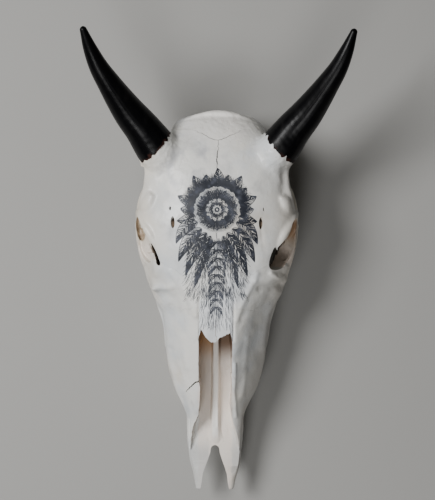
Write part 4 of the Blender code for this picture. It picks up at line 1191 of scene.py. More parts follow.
    def _open_up(self) -> None:
        """Cut the nasal opening, the notch between the jaw tips, the pits and the sockets' fronts."""
        self.body.combine(self._cavity())
        notch = list(self.notch) + [(-x, y) for x, y in self.notch[-2::-1]]
        for name, outline, low in (("opening", self.opening, 0.075), ("notch", notch, UNDERFOOT)):
            self.body.combine(Solid.loft(name, [[(x, y, z) for x, y in outline] for z in (low, OVERHEAD)]))
        for name, form in PITS.items():
            for pit in form.both(name):
                self.body.combine(pit)
        for side, form in SOCKETS:
            self.body.combine(form.build("socket", side))
        self.body.trim((0, 0, self.rest_height), (0, 0, -1))
        self.body.keep_largest()
        LOG.info("nasal opening and pits cut")

    def surface(self) -> BVHTree:
        """Search tree over the skull's skin, for laying ink on it."""
        mesh = self.body.thing.data
        return BVHTree.FromPolygons([v.co for v in mesh.vertices], [p.vertices for p in mesh.polygons])

    def _take(self, name: str, region: Region, side: Side) -> None:
        """Keep a copy of the bone inside a region.

        Args:
            name: Name of the bone.
            region: Where it lies.
            side: Side of the skull.
        """
        piece = self.body.copy(name)
        piece.combine(region.build("inside", side, Edge.BONE), Operation.INTERSECT)
        piece.keep_largest()
        self.bones[name] = piece

    def part(self) -> None:
        """Part the bone along its sutures."""
        for name, region in PARTING:
            for side in Side:
                self._take(f"{name}_{side.label}", region, side)
            for side in Side:
                self.body.combine(region.build("outside", side, Edge.GAP))
            LOG.info("parted the %s bones", name)
        self._take("occiput", OCCIPUT, Side.LEFT)
        self.body.combine(OCCIPUT.build("outside", Side.LEFT, Edge.GAP))
        self.body.keep_largest()
        self.bones["cranium"] = self.body


@dataclass
class ToothRow:
    """Worn two-lobed cheek teeth of one side, crowns down."""

    side: Side
    points: int
    # Length along the jaw and width of each tooth, from the front.
    sizes: Plan = ((0.0095, 0.0095), (0.0122, 0.0122), (0.0128, 0.0142), (0.019, 0.0165), (0.0222, 0.0178),
                   (0.0222, 0.0165))
    front: float = -0.1585
    row_y: Sequence[float] = (-0.16, -0.14, -0.12, -0.1, -0.08, -0.055)
    row_x: Sequence[float] = (0.0275, 0.0335, 0.037, 0.039, 0.0392, 0.038)
    ribs: Sequence[float] = (0.86, 0.8, 0.97, 0.8, 0.86)
    lobes: Sequence[float] = (0.72, 1.0, 0.7, 1.0, 0.72)
    # Heights of a crown's rings with their breadth as a share, then the shares of its worn face.
    levels: Plan = ((0.024, 0.86), (0.016, 0.93), (0.01, 0.975), (0.005, 1.0), (0.0018, 1.0), (0.0005, 0.97))
    worn: Sequence[float] = (0.93, 0.88, 0.82, 0.74, 0.66, 0.58, 0.5, 0.42, 0.33, 0.24, 0.14, 0.05)
    spacing: float = 0.0003
    rng: np.random.Generator = field(init=False)

    def __post_init__(self) -> None:
        """Set up the teeth's random turns and widths."""
        self.rng = np.random.default_rng(40 + self.side.value)

    @staticmethod
    def _crown_height(across: np.ndarray, along: np.ndarray, share: float, lobes: int) -> np.ndarray:
        """Height of the worn face, with a raised rim of enamel round each lobe's hollow.

        Args:
            across: Place across the tooth, from -1 to 1.
            along: Place along it, from -1 to 1.
            share: Breadth of the ring as a share.
            lobes: How many lobes the tooth has.

        Returns:
            The height at each place.
        """
        height = 0.0012 * smooth_step(0.98, 0.8, np.full(len(across), share))
        for i in range(lobes):
            middle = (i + 0.5) / lobes * 2 - 1
            reach = np.hypot(across / 0.42, (along - middle) / (0.62 / lobes))
            height = height - 0.001 * fall_off(reach - 1, 0.16) * (height > 0)
            height = height + 0.0022 * (1 - smooth_step(0.5, 0.85, reach))
        return np.maximum(height, 0)

    def _tooth(self, name: str, centre: Point, size: Point, turn: float) -> Solid:
        """Build one tooth.

        Args:
            name: Name of the solid.
            centre: Its middle in plan, for the left side.
            size: Its length along the jaw and its width.
            turn: How far it is turned about the upright.

        Returns:
            The tooth.
        """
        length, width = size
        steps = np.linspace(-1, 1, 5)
        half = [(rib, y) for rib, y in zip(self.ribs, steps)]
        half += [(-lobe, y) for lobe, y in zip(self.lobes[::-1], steps[::-1])]
        outline = smooth_loop(half, self.points)
        lobes = 2 if length > 0.012 else 1
        rings = []
        for z, share in self.levels + tuple((None, s) for s in self.worn):
            across, along = outline[:, 0] * share, outline[:, 1] * share
            height = self._crown_height(across, along, share, lobes) if z is None else np.full(self.points, z)
            x = across * self.side.value * width / 2
            y = along * length / 2
            rings.append(np.column_stack([
                centre[0] * self.side.value + x * math.cos(turn) - y * math.sin(turn),
                centre[1] + x * math.sin(turn) + y * math.cos(turn),
                height + 0.00012,
            ]))
        return Solid.loft(name, rings)

    def add_to(self, jaw: Solid) -> None:
        """Join the teeth to the jaw they grow from.

        Args:
            jaw: The jaw's bone.
        """
        y = self.front
        for i, (length, width) in enumerate(self.sizes):
            middle = y + length / 2
            x, ahead = smooth_line(self.row_y, self.row_x, np.array([middle, middle + 0.002]))
            turn = math.atan2(x - ahead, 0.002) * self.side.value + self.rng.uniform(-0.03, 0.03)
            size = (length - self.spacing, width * self.rng.uniform(0.97, 1.0))
            jaw.combine(self._tooth(f"tooth_{i}", (x, middle), size, turn), Operation.UNION)
            y += length
        LOG.info("teeth joined to the %s jaw", self.side.label)


@dataclass
class HornSheath:
    """Smooth black horn with a ragged lower edge."""

    side: Side
    columns: int
    levels: int
    line: Sequence[Point] = (
        (0.05, 0.088, 0.1065), (0.0617, 0.1024, 0.1135), (0.075, 0.1205, 0.1205),
        (0.0871, 0.1348, 0.1285), (0.0978, 0.1492, 0.1385), (0.107, 0.1627, 0.1485),
        (0.1166, 0.1776, 0.158), (0.1248, 0.1952, 0.167), (0.1308, 0.2118, 0.1735),
    )
    radii: Sequence[float] = (0.0214, 0.0211, 0.01845, 0.01655, 0.01415, 0.01185, 0.00965, 0.00685, 0.00365)
    spikes: int = 21
    # How far out each ring of the rounded tip lies, in end radii, and its breadth as a share.
    tip: Plan = ((0.3, 0.96), (0.55, 0.82), (0.75, 0.62), (0.88, 0.4), (0.96, 0.18))
    path: np.ndarray = field(init=False)
    knots: np.ndarray = field(init=False)
    turn: np.ndarray = field(init=False)
    rag: np.ndarray = field(init=False)

    def __post_init__(self) -> None:
        """Lay out the horn's course and draw its ragged edge."""
        self.path = np.array([self.side.place(p) for p in self.line])
        self.knots = path_lengths(self.path)
        self.turn = full_turn(self.columns)
        rng = np.random.default_rng(72 + self.side.value)
        heights = rng.uniform(0, 1, self.spikes) ** 1.5
        place = np.arange(self.columns) / self.columns * self.spikes
        part = place - np.floor(place)
        spike = heights[place.astype(int)] * (1 - np.abs(2 * part - 1)) ** 1.4
        swing = np.interp(place, np.arange(self.spikes + 1), rng.uniform(-1, 1, self.spikes + 1))
        self.rag = 0.0008 - 0.0052 * spike + 0.001 * swing + 0.0004 * rng.uniform(-1, 1, self.columns)

    def _skin(self, at: np.ndarray, swell: float) -> np.ndarray:
        """Read the horn's smooth skin, one place in each column.

        Args:
            at: How far along the horn each place lies.
            swell: How much wider the horn is made all round.

        Returns:
            The points, one row each.
        """
        centre = smooth_line(self.knots, self.path, at)
        ahead = smooth_line(self.knots, self.path, at + 1e-4) - smooth_line(self.knots, self.path, at - 1e-4)
        across = unit(np.cross(unit(ahead), (0, 0, 1)))
        rise = np.cross(across, unit(ahead))
        radius = smooth_line(self.knots, np.array(self.radii), at) + swell
        return centre + radius[:, None] * (np.cos(self.turn)[:, None] * across
                                           + np.sin(self.turn)[:, None] * rise)

    def build(self, name: str, swell: float = 0.0, lower: float = 0.0) -> Solid:
        """Build the sheath.

        Args:
            name: Name of the solid.
            swell: How much wider it is made all round.
            lower: How much further down its ragged edge is moved.

        Returns:
            The sheath, or the space for it in the bone.
        """
        base = np.array(self.side.place(HORN_BASE))
        normal = unit(np.array(self.side.place(HORN_BASE_NORMAL)))
        start = np.full(self.columns, self.knots[1])
        for _ in range(12):
            start = start - 0.8 * ((self._skin(start, swell) - base) @ normal + self.rag + lower)
        rings = []
        for share in np.linspace(0, 1, self.levels) ** 1.15:
            at = start + (self.knots[-1] - start) * share
            ring = self._skin(at, swell)
            rings.append(ring if swell else self._grain(ring, at))
        last, tip = rings[-1], self.path[-1]
        onward = unit(self.path[-1] - self.path[-2])
        for out, share in self.tip:
            rings.append(tip + (last - tip) * share + onward * out * self.radii[-1])
        mid = rings[0].mean(axis=0)
        inner = [mid + (rings[0] - mid) * s + normal * (0.002 * (1 - s)) for s in (0.35, 0.85)]
        return Solid.loft(name, inner + rings)

    def _grain(self, ring: np.ndarray, at: np.ndarray) -> np.ndarray:
        """Roughen a ring of the skin with faint streaks and growth rings.

        Args:
            ring: Its points.
            at: How far along the horn each of them lies.

        Returns:
            The roughened points.
        """
        turn = self.turn
        outward = unit(ring - ring.mean(axis=0))
        streak = NoiseField(21).at(np.column_stack([np.cos(turn), np.sin(turn), at * 2]) + 5, 0.11)
        growth = np.sin(at * 900 + 3 * np.sin(turn * 2)) * np.exp(-(at - 0.02) / 0.05)
        return ring + outward * (0.00009 * streak - 0.00017 + 0.00005 * growth)[:, None]


@dataclass(frozen=True)
class Vomer:
    """Long thin bone standing on the floor of the nasal cavity."""

    # Place along the skull, half width, foot and top.
    line: Sequence[Point] = (
        (-0.07, 0.0027, 0.053, 0.06), (-0.09, 0.0028, 0.0405, 0.0555), (-0.13, 0.0029, 0.039, 0.0525),
        (-0.17, 0.0031, 0.039, 0.049), (-0.188, 0.0038, 0.039, 0.046),
        (-0.1975, 0.0047, 0.0395, 0.0436), (-0.203, 0.0052, 0.0395, 0.042),
    )
    rings: int = 90
    dip: float = 0.0007

    def build(self, name: str, swell: float = 0.0) -> Solid:
        """Build the vomer, or with swell the slot for it.

        Args:
            name: Name of the solid.
            swell: How much wider and higher it is made.

        Returns:
            The solid.
        """
        line = np.array(self.line)
        at = np.linspace(line[0, 0], line[-1, 0], self.rings)
        rows = -smooth_line(-line[:, 0], -line[:, 1:], -at)
        wobble = NoiseField(31).at(np.column_stack([at, at, at]), 0.012) * 0.00025
        rings = []
        for y, (half, low, high), drift in zip(at, rows, wobble):
            half, low, high = half + swell, low - swell, high + swell
            beside = ((2.1, low), (1.75, low + 0.0022), (1.35, (low + high) / 2), (1.0, high - 0.0012),
                      (0.7, high - 0.0003))
            middle = [(0.0, high if swell else high - self.dip)]
            ring = list(beside) + middle + [(-share, z) for share, z in beside[::-1]]
            rings.append([(half * share + drift, y, z) for share, z in ring])
        return Solid.loft(name, rings)


@dataclass(frozen=True)
class Stroke:
    """One inked line, drawn in plan."""

    path: np.ndarray
    width: float


@dataclass
class Ornament:
    """Inked ornament of leaves, petals and hatching, laid on the forehead and nose."""

    surface: BVHTree
    hub: tuple[float, float] = (0.0, 0.04)
    lift: float = 0.00005
    petal_pen: float = 0.00028
    hatch_pen: float = 0.00036
    grass_pen: float = 0.0003
    # Stem, bend and tip, half width and tone of each leaf beside the hub.
    side_leaves: Sequence[tuple] = (
        ((0.019, 0.027), (0.034, 0.026), (0.0405, 0.006), 0.0064, 1.0),
        ((0.015, 0.021), (0.03, 0.013), (0.038, -0.012), 0.0068, 1.0),
        ((0.01, 0.017), (0.022, 0.004), (0.031, -0.026), 0.0064, 0.95),
        ((0.006, 0.014), (0.014, -0.004), (0.022, -0.038), 0.0054, 0.8),
    )
    strokes: list[Stroke] = field(default_factory=list)
    rng: np.random.Generator = field(default_factory=lambda: np.random.default_rng(90))

    def line(self, points: Sequence[Point], width: float) -> None:
        """Add one stroke through plan points."""
        self.strokes.append(Stroke(np.asarray(points, float), width))

    def leaf(self, stem: Sequence[Point], breadth: float, tone: float, pen: float = 0.00034) -> None:
        """Draw a veined leaf along a curved stem.

        Args:
            stem: Start, bend and tip of its midrib in plan.
            breadth: Half its width at its widest.
            tone: Share of the leaf that is shaded, from 0 to 1.
            pen: Width of the pen line.
        """
        a, b, c = (np.array(p, float) for p in stem)
        t = np.linspace(0, 1, 40)[:, None]
        rib = (1 - t) ** 2 * a + 2 * t * (1 - t) * b + t * t * c
        ahead = np.gradient(rib, axis=0)
        ahead /= np.linalg.norm(ahead, axis=1)[:, None]
        across = np.column_stack([-ahead[:, 1], ahead[:, 0]])
        half = breadth * np.sin(math.pi * t ** 0.8) ** 0.85 * (1 - 0.15 * t)
        length = np.linalg.norm(np.diff(rib, axis=0), axis=1).sum()
        self.line(rib, pen * 2.0)
        for sign in (1, -1):
            self.line(rib + across * half * sign, pen * 1.8)
            shade = tone * (1.0 if sign > 0 else 0.5)
            count = max(6, int(length / 0.0005 * (0.4 + 0.6 * shade)))
            for k in range(count):
                u = (k + self.rng.uniform(0.2, 0.8)) / count
                reach = self.rng.uniform(0.35, 1.0) if self.rng.random() > shade else 1.0
                sweep = np.linspace(0, reach, 6)
                i = np.clip(u + 0.16 * sweep, 0, 1) * 39
                low = np.minimum(i.astype(int), 38)
                f = (i - low)[:, None]
                foot = rib[low] * (1 - f) + rib[low + 1] * f
                side = across[low] * (1 - f) + across[low + 1] * f
                wide = half[low] * (1 - f) + half[low + 1] * f
                start = 0.0 if self.rng.random() < 0.7 else 0.3
                path = foot + side * wide * sign * (start + (1 - start) * sweep[:, None])
                self.line(path, pen * self.rng.uniform(0.8, 1.3) * (0.85 + 0.45 * shade))

    def _spoke(self, angle: float, *radii: float) -> list[np.ndarray]:
        """Places at given radii of the hub, all at one angle."""
        return [np.array(self.hub) + np.array((math.cos(angle), math.sin(angle))) * r for r in radii]

    def petal_ring(self, inner: float, outer: float, count: int, tone: float) -> None:
        """Draw a ring of petals round the hub.

        Args:
            inner: Radius where they start.
            outer: Radius of their tips.
            count: How many there are.
            tone: Share of each that is shaded.
        """
        for k in range(count):
            angle = 2 * math.pi * (k + 0.5) / count
            start, tip = self._spoke(angle, inner, outer)
            bend = (start + tip) / 2 + np.array((-math.sin(angle), math.cos(angle))) * 0.0006
            breadth = math.pi * (inner + outer) / 2 / count * 0.92
            self.leaf((start, bend, tip), breadth, tone, self.petal_pen)

    def ring(self, radius: float, width: float) -> None:
        """Draw a circle round the hub."""
        turn = np.linspace(0, 2 * math.pi, 72)
        self.line(np.array(self.hub) + radius * np.column_stack([np.cos(turn), np.sin(turn)]), width)

    def arc_hatch(self, radii: Point, angles: Point, count: int) -> None:
        """Draw short rays between two radii of the hub.

        Args:
            radii: Inner and outer radius.
            angles: First and last angle.
            count: How many rays there are.
        """
        spread = radii[1] - radii[0]
        for angle in np.linspace(*angles, count):
            low = radii[0] + self.rng.uniform(0, 0.15) * spread
            high = radii[1] - self.rng.uniform(0, 0.3) * spread
            width = self.hatch_pen * self.rng.uniform(0.8, 1.4)
            self.line(self._spoke(angle, *np.linspace(low, high, 5)), width)

    def grass(self, box: Point, count: int, lean: float, reach: float = 0.011) -> None:
        """Draw loose curved strokes, thinning out towards the nose.

        Args:
            box: Lowest and highest x and lowest and highest y of their starts.
            count: How many there are.
            lean: How far they bend outwards at the box's sides.
            reach: Length of the longest.
        """
        x_low, x_high, y_low, y_high = box
        for _ in range(count):
            x = self.rng.uniform(x_low, x_high)
            y = y_high - (y_high - y_low) * self.rng.random() ** 1.25
            long = reach * self.rng.uniform(0.35, 1.0)
            bend = lean * x / max(abs(x_high), abs(x_low)) + self.rng.normal(0, 0.12)
            t = np.linspace(0, 1, 6)
            path = np.column_stack([x + long * bend * t * t, y - long * t])
            self.line(path, self.grass_pen * self.rng.uniform(0.7, 1.6))

    def _rosette(self) -> None:
        """Draw the rings, petals and rays round the hub."""
        for radius, width in ((0.0022, 0.0006), (0.004, 0.0004), (0.0098, 0.0005), (0.0212, 0.0005),
                              (0.0222, 0.0003)):
            self.ring(radius, width)
        for radii, count in (((0.0006, 0.004), 30), ((0.0045, 0.0097), 90), ((0.014, 0.0212), 260),
                             ((0.018, 0.0212), 200)):
            self.arc_hatch(radii, (0, 2 * math.pi), count)
        self.petal_ring(0.0042, 0.0098, 10, 0.8)
        self.petal_ring(0.0102, 0.021, 14, 1.0)
        self.arc_hatch((0.01, 0.02), (0, 2 * math.pi), 260)
        for radii, past, count in (((0.0222, 0.032), 0.3, 300), ((0.0226, 0.035), 0.1, 240),
                                   ((0.025, 0.038), -0.3, 160)):
            self.arc_hatch(radii, (-past, math.pi + past), count)

    def _upper_leaves(self) -> None:
        """Draw the fan of leaves round the rosette's upper edge."""
        for k in range(13):
            angle = math.radians(-16 + 212 * k / 12)
            start, tip = self._spoke(angle, 0.0226, 0.0415 if k % 2 == 0 else 0.0365)
            lean = np.array((-math.sin(angle), math.cos(angle))) * 0.0025 * (1 if k > 6 else -1)
            self.leaf((start, (start + tip) / 2 + lean, tip), 0.0054, 1.0 if k % 2 else 0.9, 0.00044)

    def _lower_leaves(self) -> None:
        """Draw the stem down the nose and the pairs of leaves along it."""
        self.line([(0.0006 * math.sin(y * 260), y) for y in np.linspace(0.017, -0.066, 40)], 0.0006)
        for k in range(9):
            y = 0.008 - 0.0082 * k
            size = 0.0135 * (1 - 0.055 * k)
            for sign in (1, -1):
                tip = (sign * size * 0.75, y - size * 0.95)
                bend = (sign * size * 0.62, y - size * 0.15)
                self.leaf(((0, y), bend, tip), 0.0028 * (1 - 0.05 * k), 0.95 - 0.06 * k, 0.00038)

    def design(self) -> None:
        """Compose the ornament."""
        self._rosette()
        self._upper_leaves()
        for sign in (1, -1):
            for *stem, breadth, tone in self.side_leaves:
                self.leaf([(x * sign, y) for x, y in stem], breadth, tone, 0.00042)
        self._lower_leaves()
        self.grass((-0.03, 0.03, -0.045, 0.012), 900, 0.5)
        self.grass((-0.015, 0.015, -0.076, -0.035), 260, 0.25)
        LOG.info("ornament drawn: %d strokes", len(self.strokes))

    def _laid(self, stroke: Stroke) -> Optional[tuple[np.ndarray, np.ndarray]]:
        """Drop a stroke onto the bone.

        Args:
            stroke: The stroke.

        Returns:
            Its points and the bone's normals there, or None where it would leave the upper side.
        """
        hits = []
        for x, y in stroke.path:
            spot, normal, _, _ = self.surface.ray_cast(Vector((x, y, 0.3)), Vector((0, 0, -1)))
            if spot is None or normal.z < 0.3 or (hits and abs(spot.z - hits[-1][0][2]) > 0.003):
                return None
            hits.append((np.array(spot), np.array(normal)))
        line, normal = (np.array(rows) for rows in zip(*hits))
        if line[0, 2] < 0.115 + 0.27 * min(0.0, line[0, 1] + 0.045):
            return None
        return line, (normal + np.roll(normal, 1, 0) + np.roll(normal, -1, 0)) / 3

    def build(self, name: str) -> bpy.types.Object:
        """Lay the strokes on the bone as thin ribbons.

        Args:
            name: Name of the piece.

        Returns:
            The piece.
        """
        verts, faces = [], []
        for stroke in self.strokes:
            laid = self._laid(stroke)
            if laid is None:
                continue
            line, normal = laid
            across = np.cross(normal, np.gradient(line, axis=0))
            across /= np.linalg.norm(across, axis=1)[:, None] + 1e-12
            taper = np.interp(np.arange(len(line)), (0, 1, len(line) - 2, len(line) - 1), (0.7, 1, 0.8, 0.25))
            half = across * (stroke.width / 2 * taper)[:, None]
            first = len(verts)
            lifted = line + normal * self.lift
            verts += [tuple(v) for pair in zip(lifted - half, lifted + half) for v in pair]
            faces += [(i, i + 1, i + 3, i + 2) for i in range(first, len(verts) - 2, 2)]
        mesh = bpy.data.meshes.new(name)
        mesh.from_pydata(verts, [], faces)
        mesh.update()
        thing = bpy.data.objects.new(name, mesh)
        bpy.context.scene.collection.objects.link(thing)
        LOG.info("%s: %d faces", name, len(faces))
        return thing


@dataclass(frozen=True)
class Signal:
    """A shader socket that takes part in arithmetic."""

    net: "Net"
    socket: bpy.types.NodeSocket

    def __add__(self, other: Number) -> "Signal":
        """This plus another."""
        return self.net.maths("ADD", self, other)

    def __radd__(self, other: Number) -> "Signal":
        """A number plus this."""
        return self.net.maths("ADD", other, self)

    def __sub__(self, other: Number) -> "Signal":
        """This minus another."""
        return self.net.maths("SUBTRACT", self, other)

    def __rsub__(self, other: Number) -> "Signal":
        """A number minus this."""
        return self.net.maths("SUBTRACT", other, self)

    def __mul__(self, other: Number) -> "Signal":
        """This times another."""
        return self.net.maths("MULTIPLY", self, other)

    def __rmul__(self, other: Number) -> "Signal":
        """A number times this."""
        return self.net.maths("MULTIPLY", other, self)

    def __truediv__(self, other: Number) -> "Signal":
        """This divided by another."""
        return self.net.maths("DIVIDE", self, other)

    def __rtruediv__(self, other: Number) -> "Signal":
        """A number divided by this."""
        return self.net.maths("DIVIDE", other, self)

    def __pow__(self, other: Number) -> "Signal":
        """This to the power of another."""
        return self.net.maths("POWER", self, other)

    def __rpow__(self, other: Number) -> "Signal":
        """A number to the power of this."""
        return self.net.maths("POWER", other, self)

    def step(self, low: float, high: float) -> "Signal":
        """Ease from 0 to 1, or the other way about where low is the greater.

        Args:
            low: Value at which the result is 0.
            high: Value at which it is 1.

        Returns:
            The eased signal.
        """
        ends = (0.0, 1.0) if low < high else (1.0, 0.0)
        values = {"Value": self, "From Min": min(low, high), "From Max": max(low, high),
                  "To Min": ends[0], "To Max": ends[1]}
        return self.net.node("ShaderNodeMapRange", {"interpolation_type": "SMOOTHSTEP"}, values)


@dataclass
class Net:
    """A material's node tree, and the colour that is laid over in coats."""

    name: str
    colour: object = (1.0, 1.0, 1.0)
    material: bpy.types.Material = field(init=False)
    tree: bpy.types.NodeTree = field(init=False)
    shader: bpy.types.Node = field(init=False)
    place: Signal = field(init=False)
    x: Signal = field(init=False)
    y: Signal = field(init=False)
    z: Signal = field(init=False)

    def __post_init__(self) -> None:
        """Make the material and read the place on the skull."""
        self.material = bpy.data.materials.new(self.name)
        self.material.use_nodes = True
        self.tree = self.material.node_tree
        self.shader = self.tree.nodes["Principled BSDF"]
        place = self.node("ShaderNodeTexCoord", {}, {}, "Object")
        self.place = self.vector("SUBTRACT", place, (0.0, FORE_AFT_SHIFT, 0.0))
        self.x, self.y, self.z = (
            self.node("ShaderNodeSeparateXYZ", {}, {"Vector": self.place}, axis) for axis in "XYZ"
        )

    @cached_property
    def side(self) -> Signal:
        """Distance from the midline."""
        return self.maths("ABSOLUTE", self.x)

    def node(self, kind: str, settings: dict, inputs: dict, output: Union[int, str] = 0) -> Signal:
        """Add a node.

        Args:
            kind: Type of the node.
            settings: Its properties.
            inputs: Values or signals by socket name or number.
            output: Which socket to read.

        Returns:
            The socket read, as a signal.
        """
        made = self.tree.nodes.new(kind)
        for key, value in settings.items():
            setattr(made, key, value)
        for key, value in inputs.items():
            self.feed(made.inputs[key], value)
        return Signal(self, made.outputs[output])

    def feed(self, socket: bpy.types.NodeSocket, value: object) -> None:
        """Put a value or a signal on a socket.

        Args:
            socket: The socket.
            value: Number, vector, colour or signal.
        """
        if isinstance(value, Signal):
            self.tree.links.new(value.socket, socket)
        elif socket.type == "RGBA":
            socket.default_value = (*value, 1.0)
        else:
            socket.default_value = value

    def maths(self, operation: str, *values: Number) -> Signal:
        """Add a Math node."""
        return self.node("ShaderNodeMath", {"operation": operation}, dict(enumerate(values)))

    def vector(self, operation: str, *values: object, output: Union[int, str] = 0) -> Signal:
        """Add a Vector Math node."""
        return self.node("ShaderNodeVectorMath", {"operation": operation}, dict(enumerate(values)), output)

    def noise(
        self, scale: float, detail: float = 2.0, stretch: Optional[Point] = None, shift: float = 0.0
    ) -> Signal:
        """Add a noise texture, with values about 0.5.

        Args:
            scale: Waves per metre.
            detail: How many finer layers it has.
            stretch: Factor on the waves' number along each axis.
            shift: Where in the noise it is read.

        Returns:
            The noise.
        """
        place = self.place if stretch is None else self.vector("MULTIPLY", self.place, tuple(stretch))
        if shift:
            place = self.vector("ADD", place, (shift, shift, shift))
        return self.node("ShaderNodeTexNoise", {}, {"Vector": place, "Scale": scale, "Detail": detail}, "Fac")

    def mix(self, factor: Number, a: object, b: object) -> Signal:
        """Mix two colours."""
        return self.node("ShaderNodeMix", {"data_type": "RGBA"}, {0: factor, 6: a, 7: b}, 2)

    def coat(self, mask: Signal, colour: object) -> None:
        """Lay a colour over the one so far, as far as the mask is 1."""
        self.colour = self.mix(mask, self.colour, colour)

    def distance(self, point: Point) -> Signal:
        """Distance from a point of the skull."""
        return self.vector("DISTANCE", self.place, tuple(point), output="Value")

    def bump(self, height: Signal, strength: float, distance: float) -> None:
        """Feed a height to the shader's normal through a Bump node."""
        values = {"Height": height, "Strength": strength, "Distance": distance}
        self.finish({"Normal": self.node("ShaderNodeBump", {}, values)})

    def finish(self, values: dict) -> None:
        """Set or feed the surface shader's sockets."""
        for key, value in values.items():
            self.feed(self.shader.inputs[key], value)


@dataclass
class BoneFinish:
    """Dry bleached bone, with brown nasal cavity, warm sockets and smudges of ink, and painted shade and
    shadow on its left side, in its sockets and holes and past the nasal tips.
    """

    name: str = "bleached_bone"
    pale: Point = (0.79, 0.78, 0.74)
    cool: Point = (0.66, 0.685, 0.7)
    warm: Point = (0.7, 0.62, 0.5)
    grey: Point = (0.5, 0.5, 0.49)
    frost: Point = (0.76, 0.8, 0.85)
    # Stain, also used as painted shade in the upper part of the left socket.
    stain: Point = (0.36, 0.23, 0.14)
    socket: Point = (0.46, 0.36, 0.27)
    spotted: Point = (0.3, 0.22, 0.15)
    beige: Point = (0.43, 0.35, 0.25)
    rose: Point = (0.86, 0.74, 0.64)
    # Painted shade for the left flank below the socket.
    dusk: Point = (0.44, 0.41, 0.37)
    # Painted shade for the pits, the pore and the depth of the left crescent.
    soot: Point = (0.065, 0.052, 0.042)
    amber: Point = (0.56, 0.36, 0.2)
    umber: Point = (0.2, 0.115, 0.065)
    # Painted shade in the right slit.
    bark: Point = (0.15, 0.115, 0.085)
    pink: Point = (0.82, 0.73, 0.65)
    ivory: Point = (0.92, 0.89, 0.84)
    smudge: Point = (0.3, 0.31, 0.36)
    enamel: Point = (0.72, 0.66, 0.54)
    roughness: float = 0.38
    coat_roughness: float = 0.18
    net: Net = field(init=False)

    def material(self) -> bpy.types.Material:
        """Build the material.

        Returns:
            The material.
        """
        net = self.net = Net(self.name, self.pale)
        cloud = net.noise(26.0, 4.0)
        streak = net.noise(240.0, 3.0, (1.0, 0.12, 1.0)).step(0.6, 0.78)
        hairline = self._hairline()
        ragged = net.side + (net.noise(110.0, 3.0) * 0.006 - 0.003)
        cavity = ragged.step(0.019, 0.0165) * net.z.step(0.036, 0.0385) * net.y.step(-0.058, -0.062)
        inked = net.distance((0.0, 0.02, 0.128)).step(0.062, 0.03) * net.z.step(0.1, 0.112)
        tooth = net.z.step(GUM_HEIGHT, GUM_HEIGHT - 0.0015) * net.y.step(0.0, -0.02)
        self._bleach(cloud)
        net.coat(streak * 0.22, self.warm)
        net.coat(hairline * 0.35, self.stain)
        self._shade()
        self._colour_nose(cavity)
        self._colour_sockets()
        self._darken_holes()
        self._smudge(inked)
        net.coat(net.z.step(0.055, 0.03) * net.y.step(-0.17, -0.05) * 0.25 * cloud, self.warm)
        self._colour_teeth(tooth)
        net.finish({
            "Base Color": net.colour,
            "Roughness": self.roughness + 0.16 * (cloud - 0.5) + 0.25 * cavity - 0.15 * tooth,
            "Specular IOR Level": 0.45,
            "Coat Weight": 0.08 + 0.42 * inked,
            "Coat Roughness": self.coat_roughness,
        })
        grain = 0.45 * net.noise(900.0, 3.0) + 0.7 * net.noise(260.0, 3.0) + 0.9 * net.noise(95.0, 3.0)
        net.bump(grain - 0.8 * hairline - 0.3 * streak, 0.42, 0.0008)
        return net.material

    def _hairline(self) -> Signal:
        """Fine hairline cracks in patches.

        Returns:
            The mask of the cracks.
        """
        net = self.net
        wave = net.node("ShaderNodeTexNoise", {}, {"Vector": net.place, "Scale": 140.0}, "Color")
        ruffle = net.vector("MULTIPLY", net.vector("SUBTRACT", wave, (0.5, 0.5, 0.5)), (0.006, 0.006, 0.006))
        inputs = {"Vector": net.vector("ADD", net.place, ruffle), "Scale": 62.0}
        edge = net.node("ShaderNodeTexVoronoi", {"feature": "DISTANCE_TO_EDGE"}, inputs)
        return edge.step(0.012, 0.0) * net.noise(30.0, 1.0, shift=9.0).step(0.55, 0.7)

    def _bleach(self, cloud: Signal) -> None:
        """Lay cool, warm and grey clouds over the pale bone, and whiten the crown and nose.

        Args:
            cloud: Noise of the broad clouds.
        """
        net = self.net
        net.coat(cloud.step(0.42, 0.66) * 0.9, self.cool)
        net.coat(net.noise(17.0, 4.0, shift=3.0).step(0.5, 0.76) * 0.7, self.warm)
        net.coat(net.noise(75.0, 5.0, (1.0, 0.7, 1.0), shift=1.7).step(0.55, 0.75) * 0.48, self.grey)
        net.coat(net.side.step(0.05, 0.08) * 0.6, self.warm)
        net.coat(net.distance((0.0, 0.128, 0.098)).step(0.05, 0.02) * 0.85, self.ivory)
        nose_tip = net.side.step(0.0185, 0.016) * net.y.step(-0.03, -0.06) * net.z.step(0.085, 0.092)
        net.coat(nose_tip * 0.6, self.frost)

    def _shade(self) -> None:
        """Paint shade on the left side's temple and flank, and dust the right of the brow."""
        net = self.net
        # Painted shade: the left side's temple is greyed where the brow turns away from the key light.
        temple = net.x.step(0.04, 0.074) * net.y.step(-0.01, 0.035) * net.z.step(0.085, 0.095)
        net.coat(temple * 0.55, self.grey)
        # Painted shade: the left flank below the socket is darkened where it faces away from the key light.
        flank = (net.x - 0.24 * net.y).step(0.06, 0.074) * net.y.step(-0.02, -0.04)
        net.coat(flank * 0.55, self.dusk)
        dust = net.distance((-0.024, 0.078, 0.13)).step(0.048, 0.018)
        net.coat(dust * net.noise(55.0, 5.0, shift=7.0).step(0.46, 0.7) * 0.55, self.smudge)

    def _colour_nose(self, cavity: Signal) -> None:
        """Colour the nasal cavity, partly with painted shadow past the nasal tips, paint a highlight on the
        vomer's top and grey the right jaw tip.

        Args:
            cavity: Mask of the nasal cavity.
        """
        net = self.net
        roofless = (net.z + 0.27 * (-0.085 - net.y)).step(0.1005, 0.0975)
        lit = cavity * net.z.step(0.112, 0.104) * roofless
        net.coat(lit * (0.55 + 0.4 * net.noise(70.0)), self.pink)
